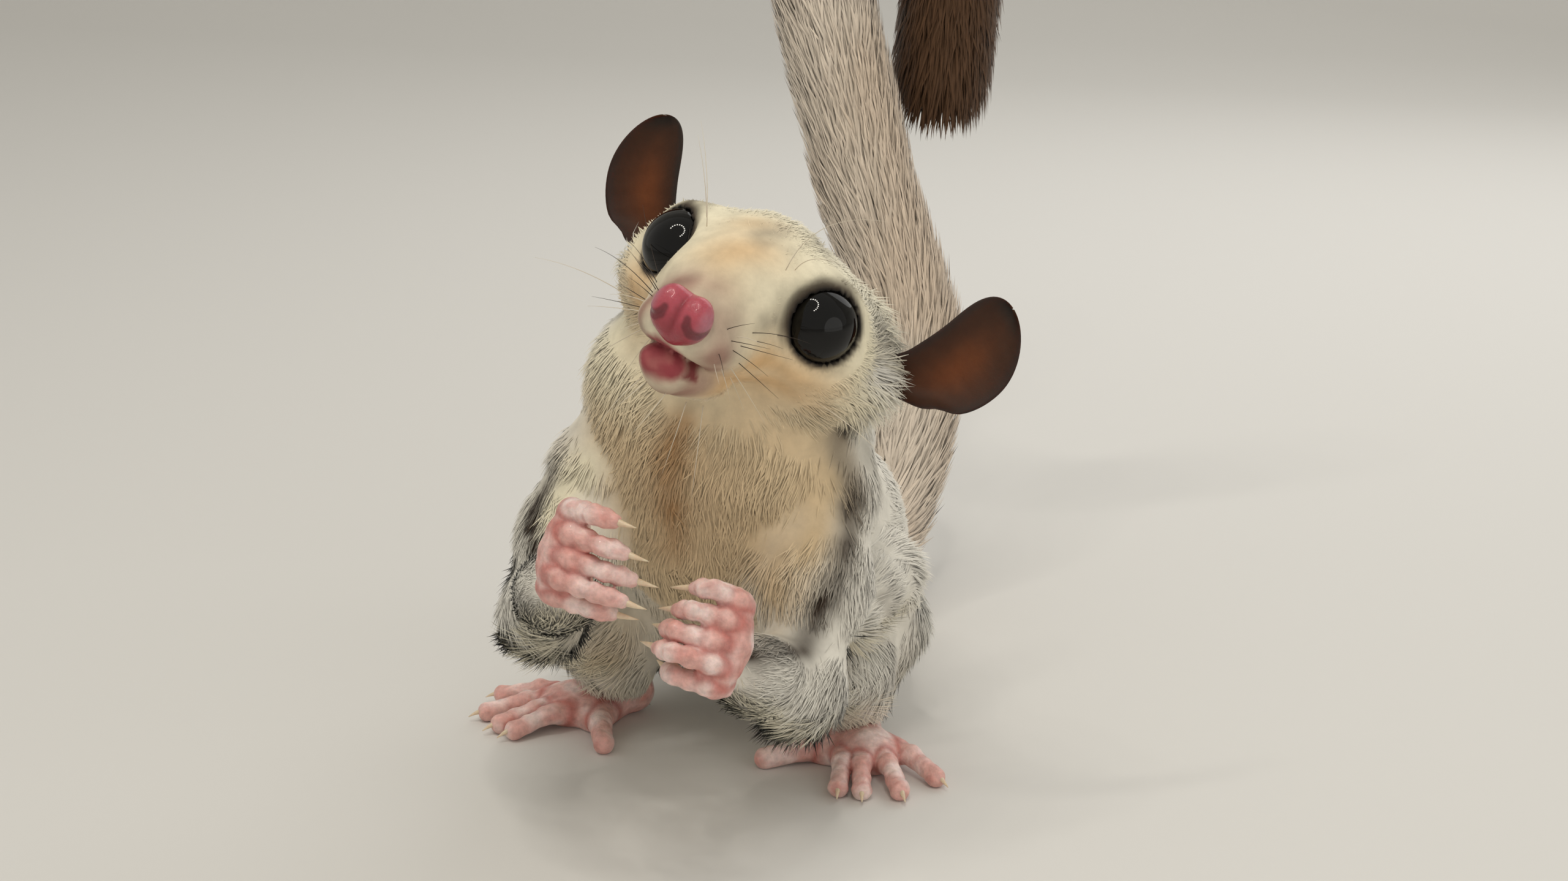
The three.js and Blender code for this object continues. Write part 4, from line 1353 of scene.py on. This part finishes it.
def addCoat(name, tufts, mine, slot):
    # joined meshes of some of the tufts, as many as keep each one under the limit of faces
    corners = tufts["points"].shape[1]
    places = np.flatnonzero(mine)
    each = coat["most"] // len(tufts["faces"])
    groups = np.array_split(places, max(1, -(-len(places) // each)))
    for n, group in enumerate(groups):
        label = name if len(groups) == 1 else name + "_" + "abcdefgh"[n]
        faces = tufts["faces"][None] + (np.arange(len(group)) * corners)[:, None, None]
        points, normals = (tufts[key][group].reshape(-1, 3) for key in ("points", "normals"))
        piece = addMesh(label, points, faces.reshape(-1, 3), normals)
        addMap(piece, "OFBake", tufts["bake"][group].reshape(-1, 2))
        addMap(piece, "strand", tufts["strand"][group].reshape(-1, 2))
        paint(piece, tufts["colours"][group].reshape(-1, 3))
        dress(piece, slot, fur)
    print(name, len(places), "tufts")


def furMaterial():
    # hair lines run along each tuft, in the colour and in the surface
    material = plainMaterial("softFur", "#ffffff", coat["roughness"], specular=coat["specular"])
    tree = material.node_tree
    shader = tree.nodes["Principled BSDF"]
    shader.inputs["Sheen Weight"].default_value = coat["sheen"]
    shader.inputs["Sheen Roughness"].default_value = coat["sheenRoughness"]
    place = addNode(tree, "ShaderNodeUVMap", uv_map="strand")
    stretch = addNode(tree, "ShaderNodeMapping", Scale=(coat["hairLines"], 0.5, 1))
    tree.links.new(place.outputs["UV"], stretch.inputs["Vector"])
    noise = addNode(tree, "ShaderNodeTexNoise", Scale=1.0, Detail=2.0, Roughness=0.6)
    grainOnMarks(material, stretch.outputs["Vector"], noise, 0.93, 1.05, 0.6, 0.00006)
    return material


def bakeHome(p, owner):
    # each part of the body has a tile of the bake map, unrolled round its own line
    home = np.zeros((len(p), 2))
    for n, part in enumerate(parts.values()):
        mine = owner == n
        if not mine.any():
            continue
        q = p[mine]
        along = fromLine(q, part["line"])[2]
        axis = unit(part["line"][-1] - part["line"][0])
        u = unit(np.cross(axis, (0.3, 0.2, 1.0)))
        v = np.cross(axis, u)
        off = q - part["line"].mean(0)
        turn = np.arctan2(off @ u, off @ v) / (2 * np.pi) + 0.5
        home[mine] = np.stack([(n % 4 + 0.04 + 0.92 * turn) / 4, (n // 4 + 0.04 + 0.92 * along) / 4], 1)
    return home


def blended(key, pull):
    # a setting of the parts, mixed by how much each part counts
    return (pull * np.array([part[key] for part in parts.values()])[:, None]).sum(0)


def coatDepth(p, pull):
    return blended("depth", pull) + pull[0] * (headCoatDepth(toHead(p)) - parts["head"]["depth"])


fur = furMaterial()
furredSkin = markedMaterial("furredSkin", 0.8, 400.0, 0.15, 0.0001)


def dressSkin(normals, pull):
    # the skin has the colours of the coat over it, with the bare lids, lower lip and mouth
    depth = coatDepth(skinPoints, pull)
    colour = coatColour(skinPoints + normals * depth[:, None] * 0.8, pull)
    q = toHead(skinPoints)
    colour *= mix(0.92, 1.0, lidShare(q))[:, None]
    lip = lipShare(q)
    pale = smooth(-0.2, 0.9, ripple(q, 1.1, 1))[:, None] * 0.7
    lipColour = mix(linear(markings["lip"]), linear(markings["paleLip"]), pale)
    colour = mix(colour, lipColour, lip[:, None])
    front, low = smooth(-7, -9, q[:, 1]), smooth(-12.2, -11.4, q[:, 2])
    inMouth = smooth(0.1, -0.3, mouth(q)) * front * low * (1 - lip)
    paint(skin, mix(colour, linear(markings["throat"]), inMouth[:, None]))
    limbNodes = ("upper_arm", "forearm", "thigh", "shank", "membrane")
    limbs = [f"{node}_{side}" for node in limbNodes for side in ("left", "right")]
    dress(skin, "coat_cream", furredSkin, "torso", "neck", "head", "jaw", *limbs)


def coatNear(normals, pull):
    # tufts for each square millimetre of each face, with the bare places left free
    middle = skinPoints[skinFaces].mean(1)
    q = toHead(middle)
    near = blended("near", pull)
    near[eyeDistance(q) < head["lidReach"]] = 0
    near[noseField(q) < 0.25] = 0
    near *= mix(0.5, 1, smooth(-16, -9, q[:, 1]))
    near[lipShare(q) > 0.4] = 0
    near[(mouth(q) < 0.12) & (q[:, 1] < -4) & (q[:, 2] > -11.8)] = 0
    near[middle[:, 2] < 1.0] = 0
    return near


def growCoat(skinNormals, facePull):
    root, normal, face = rootsOn(skinPoints, skinFaces, skinNormals, coatNear(skinNormals, facePull))
    pull = facePull[:, face]
    onHead = pull[0]
    q = toHead(root)
    short = mix(0.22, 1.2, smooth(-16, 10, q[:, 1])) * mix(0.45, 1, smooth(5.5, 9.5, eyeDistance(q)))
    length = blended("length", pull) * mix(1, short, onHead)
    width = blended("width", pull) * mix(1, mix(0.55, 1.1, smooth(-14, 8, q[:, 1])), onHead)
    length *= rng.uniform(0.75, 1.2, len(root))
    flow = coatFlow(root, normal, pull)
    flow = unit(flow + coat["wild"] * rng.normal(size=flow.shape))
    flow = unit(flow - normal * (flow * normal).sum(1)[:, None])
    outer = root + normal * coatDepth(root, pull)[:, None] * 0.8 + flow * length[:, None] * 0.4
    muzzle = smooth(-9.5, -13.5, q[:, 1]) * onHead
    colour = mix(coatColour(outer, pull), linear(markings["muzzle"]), muzzle[:, None] * 0.5)
    colour = colour * (rng.normal(1.0, 0.04, len(root)) + 0.05 * ripple(root, 2.4, 2))[:, None]
    # the fringe along the lower edges of the arms and of the folded membranes
    hem = smooth(0.1, 0.9, -normal[:, 2]) * (1 - pull[0] - pull[1]) * smooth(4, 9, root[:, 2])
    length *= 1 + 0.7 * hem * (0.6 + 0.4 * ripple(root, 4.0, 1))
    colour = mix(colour, linear(markings["cream"]), hem[:, None] * 0.9)
    # longer, looser fur before the ears and on the temples
    loose = onHead * smooth(6.5, 2.5, fromLine(mirrored(q), markings["loose"])[0])
    length *= 1 + 1.1 * loose
    lift = coat["lift"] + rng.normal(0, 4, len(root)) + 4 * ripple(root, 3.0, 0) + 22 * loose
    lift = np.clip(lift, coat["leastLift"], coat["mostLift"])
    owner = pull.argmax(0)
    tufts = growTufts(root, normal, flow, length, width, colour, bakeHome(root, owner), lift)
    names = list(parts)
    for label, (members, slot) in coatPieces.items():
        addCoat(label, tufts, np.isin(owner, [names.index(member) for member in members]), slot)


coatPieces = {
    "coatHead": (["head"], "coat_cream"),
    "coatTrunk": (["trunk"], "coat_cream"),
    "coatArmLeft": (["upperArm_left", "forearm_left"], "coat_grey"),
    "coatArmRight": (["upperArm_right", "forearm_right"], "coat_grey"),
    "coatLegLeft": (["thigh_left", "shank_left", "membrane_left"], "coat_grey"),
    "coatLegRight": (["thigh_right", "shank_right", "membrane_right"], "coat_grey"),
}
skinNormals = pointNormals(skinPoints, skinFaces)
skinPull = shares(skinPoints)
dressSkin(skinNormals, skinPull)
growCoat(skinNormals, skinPull[:, skinFaces].mean(2))
print("coat ready")

# tail
tail = {
    "points": [
        (0, 33, 9), (3, 53, 13), (4, 67, 35), (-5, 72, 62), (-12.5, 74, 90), (-14, 75.5, 103),
        (-10, 77.5, 112), (-3.5, 80.3, 115.5), (3, 83.2, 111.5), (4, 86, 100), (1.5, 88, 72),
    ],
    "radius": 8.3,
    "core": 0.66,
    "steps": 240,
    "sides": 24,
    "tipFrom": 0.745,
    "tufts": 19000,
    "tuftLength": 11.0,
    "tuftWidth": 0.56,
    "beige": "#d8c5b0",
    "pale": "#eadfd0",
    "dark": "#5a3f29",
}


def tailLine(count):
    # the curve through the tail's points, as in the solids, at even steps along it
    pts = np.array(tail["points"], float)
    ends = [2 * pts[0] - pts[1], *pts, 2 * pts[-1] - pts[-2]]
    places = []
    for a, b, c, d in zip(ends, ends[1:], ends[2:], ends[3:]):
        knots = np.cumsum([0] + [math.sqrt(np.linalg.norm(n - m)) for m, n in ((a, b), (b, c), (c, d))])
        t = np.linspace(knots[1], knots[2], 60, endpoint=False)[:, None]

        def between(m, n, i, j):
            return ((knots[j] - t) * m + (t - knots[i]) * n) / (knots[j] - knots[i])

        ab, bc, cd = between(a, b, 0, 1), between(b, c, 1, 2), between(c, d, 2, 3)
        abc, bcd = between(ab, bc, 0, 2), between(bc, cd, 1, 3)
        places.append(between(abc, bcd, 1, 2))
    places = np.concatenate([*places, pts[-1:]])
    run = np.append(0, np.cumsum(np.linalg.norm(np.diff(places, axis=0), axis=1)))
    even = np.linspace(0, run[-1], count)
    return np.stack([np.interp(even, run, places[:, i]) for i in range(3)], 1), run[-1]


def tailRadius(t):
    swell = 0.84 + 0.16 * np.sin(np.pi * np.minimum(t * 1.6, 0.5))
    end = np.minimum(1, (1 - t) / 0.07)
    return tail["radius"] * swell * np.sqrt(np.maximum(0.04, 1 - (1 - end) ** 2))


def tailFrame(line):
    # two directions across the line, carried along it without a twist
    way = unit(np.gradient(line, axis=0))
    side = np.zeros_like(line)
    side[0] = unit(np.cross(way[0], (1, 0, 0)))
    for i in range(1, len(line)):
        side[i] = unit(side[i - 1] - way[i] * (side[i - 1] @ way[i]))
    return way, side, np.cross(way, side)


def tailColour(p, t):
    pale = smooth(-0.5, 0.9, ripple(p, 12, 1))[:, None] * 0.6
    base = mix(linear(tail["beige"]), linear(tail["pale"]), pale)
    dark = smooth(tail["tipFrom"] - 0.06, tail["tipFrom"] + 0.07, t + 0.03 * ripple(p, 6, 2))
    return mix(base, linear(tail["dark"]), dark[:, None])


def makeTail():
    steps, sides = tail["steps"], tail["sides"]
    line, long = tailLine(steps)
    way, side, across = tailFrame(line)
    share = np.linspace(0, 1, steps)
    coreRadius = tailRadius(share) * tail["core"] * smooth(1.02, 0.94, share)
    angle = 2 * np.pi * np.arange(sides) / sides
    spokes = side[:, None] * np.cos(angle)[:, None] + across[:, None] * np.sin(angle)[:, None]
    rings = (line[:, None] + spokes * np.maximum(coreRadius, 0.2)[:, None, None]).reshape(-1, 3)
    core = addMesh("tailSkin", rings, gridFaces(steps, sides, True))
    paint(core, tailColour(rings, np.repeat(share, sides)) * 0.8)
    dress(core, "tail_fur", furredSkin, "tail_base", "tail_middle", "tail_bend", "tail_tip")

    count = tail["tufts"]
    t = rng.uniform(0, 0.985, count)
    turn = rng.uniform(0, 2 * np.pi, count)
    at = t * (steps - 1)
    i = np.minimum(at.astype(int), steps - 2)
    f = (at - i)[:, None]
    spoke = mix(side[i], side[i + 1], f) * np.cos(turn)[:, None]
    spoke = unit(spoke + mix(across[i], across[i + 1], f) * np.sin(turn)[:, None])
    radius = np.interp(t, share, coreRadius)
    root = mix(line[i], line[i + 1], f) + spoke * radius[:, None]
    flow = unit(mix(way[i], way[i + 1], f) + 0.12 * rng.normal(size=root.shape))
    flow = unit(flow - spoke * (flow * spoke).sum(1)[:, None])
    # shorter towards the end, and raised as far as the coat is thick
    length = np.minimum(tail["tuftLength"], (1 - t) * long * 0.75 + 6) * rng.uniform(0.7, 1.1, count)
    rise = (tailRadius(t) - radius) / length
    lift = np.degrees(np.arcsin(np.clip(rise * 1.7, 0.1, 0.8))) * rng.uniform(0.75, 1.2, count)
    colour = tailColour(root, t + 0.02) * rng.normal(1, 0.08, count)[:, None]
    home = np.stack([0.01 + 0.98 * t, 0.76 + 0.23 * turn / (2 * np.pi)], 1)
    width = tail["tuftWidth"] * rng.uniform(0.7, 1.25, count)
    tufts = growTufts(root, spoke, flow, length, width, colour, home, lift, 3)
    addCoat("coatTail", tufts, t < tail["tipFrom"], "tail_fur")
    addCoat("coatTailTip", tufts, t >= tail["tipFrom"], "tail_tip_fur")


makeTail()
print("tail ready")

# whiskers
whiskers = {
    "dark": ("#1e1712", "#3b2e25"),
    "pale": ("#c9bba4", "#e8dfce"),
    "thick": 0.06,
    "steps": 12,
    "sides": 5,
    # the middle of the pad that they stand on, and its radius
    "pad": (2.6, -11.3, -6.4),
    "padRadius": 2.6,
    # the rows on each side, as degrees up, and the places along a row, as degrees back
    "rows": (-30, -4, 18, 42),
    "back": (-34, -4, 26, 52),
    "shortest": 6.0,
    "longest": {1: 11.0, -1: 21.0},
    # single long hairs: root, first way, way at the end, length
    "brows": [
        ((5.6, -7.0, 4.0), (0.15, -0.6, 1.0), (1.0, -0.2, 0.3), 19.0),
        ((6.2, -5.8, 4.4), (0.35, -0.8, 0.6), (1.0, -0.4, 0.0), 13.0),
        ((-5.2, -7.0, 4.0), (-0.35, -0.35, 1.0), (-0.7, 0.5, 0.6), 14.0),
        ((-6.2, -5.6, 4.8), (-0.3, -0.5, 0.9), (-0.6, 0.0, 0.7), 10.0),
        ((14.0, 0.5, -8.5), (1.0, -0.7, 0.1), (1.0, 0.0, -0.3), 14.0),
        ((-13.5, 1.0, -8.5), (-1.0, -0.4, 0.1), (-1.0, 0.3, -0.35), 13.0),
        ((3.0, -9.5, -14.4), (0.35, -0.5, -1.0), (0.1, 0.1, -1.0), 9.0),
        ((-3.0, -9.5, -14.4), (-0.35, -0.5, -1.0), (-0.1, 0.1, -1.0), 9.0),
        ((1.2, -12.0, -14.0), (0.1, -0.8, -0.9), (-0.3, 0.0, -1.0), 7.0),
        ((-1.4, -12.0, -14.0), (-0.2, -0.8, -0.9), (-0.4, 0.0, -1.0), 6.0),
        ((4.2, -7.0, -14.2), (0.5, -0.3, -1.0), (0.3, 0.2, -1.0), 11.0),
    ],
}


def hairLine(start, first, last, length):
    t = np.linspace(0, 1, whiskers["steps"])[:, None]
    first, last = unit(first), unit(last)
    return fromHead(np.asarray(start, float) + length * (t * first + t**2 / 2 * (last - first)))


def makeWhiskers():
    lines = {"dark": [], "pale": []}
    for side in (1, -1):
        for up in whiskers["rows"]:
            for n, back in enumerate(whiskers["back"]):
                e = math.radians(up + rng.uniform(-12, 12))
                b = math.radians(back + rng.uniform(-13, 13))
                way = np.array([side * math.cos(e) * math.cos(b), math.cos(e) * math.sin(b), math.sin(e)])
                start = np.array(whiskers["pad"]) * (side, 1, 1) + way * whiskers["padRadius"]
                long = mix(whiskers["shortest"], whiskers["longest"][side], n / 3) * rng.uniform(0.6, 1.1)
                last = way + np.array([0, 0.45, -0.3]) + rng.uniform(-0.35, 0.35, 3)
                shade = "pale" if up < -20 or rng.random() < 0.15 else "dark"
                lines[shade].append(hairLine(start, way, last, long))
    lines["pale"] += [hairLine(*brow) for brow in whiskers["brows"]]
    radii = whiskers["thick"] * np.linspace(1, 0.12, whiskers["steps"]) ** 0.8
    for label, shade in (("whiskersDark", "dark"), ("whiskersPale", "pale")):
        hair = mottledMaterial(label, *whiskers[shade], 400.0, 0.4, specular=0.3)
        dress(tubes(label, lines[shade], radii, whiskers["sides"]), "coat_cream", hair)


makeWhiskers()
print("whiskers ready")
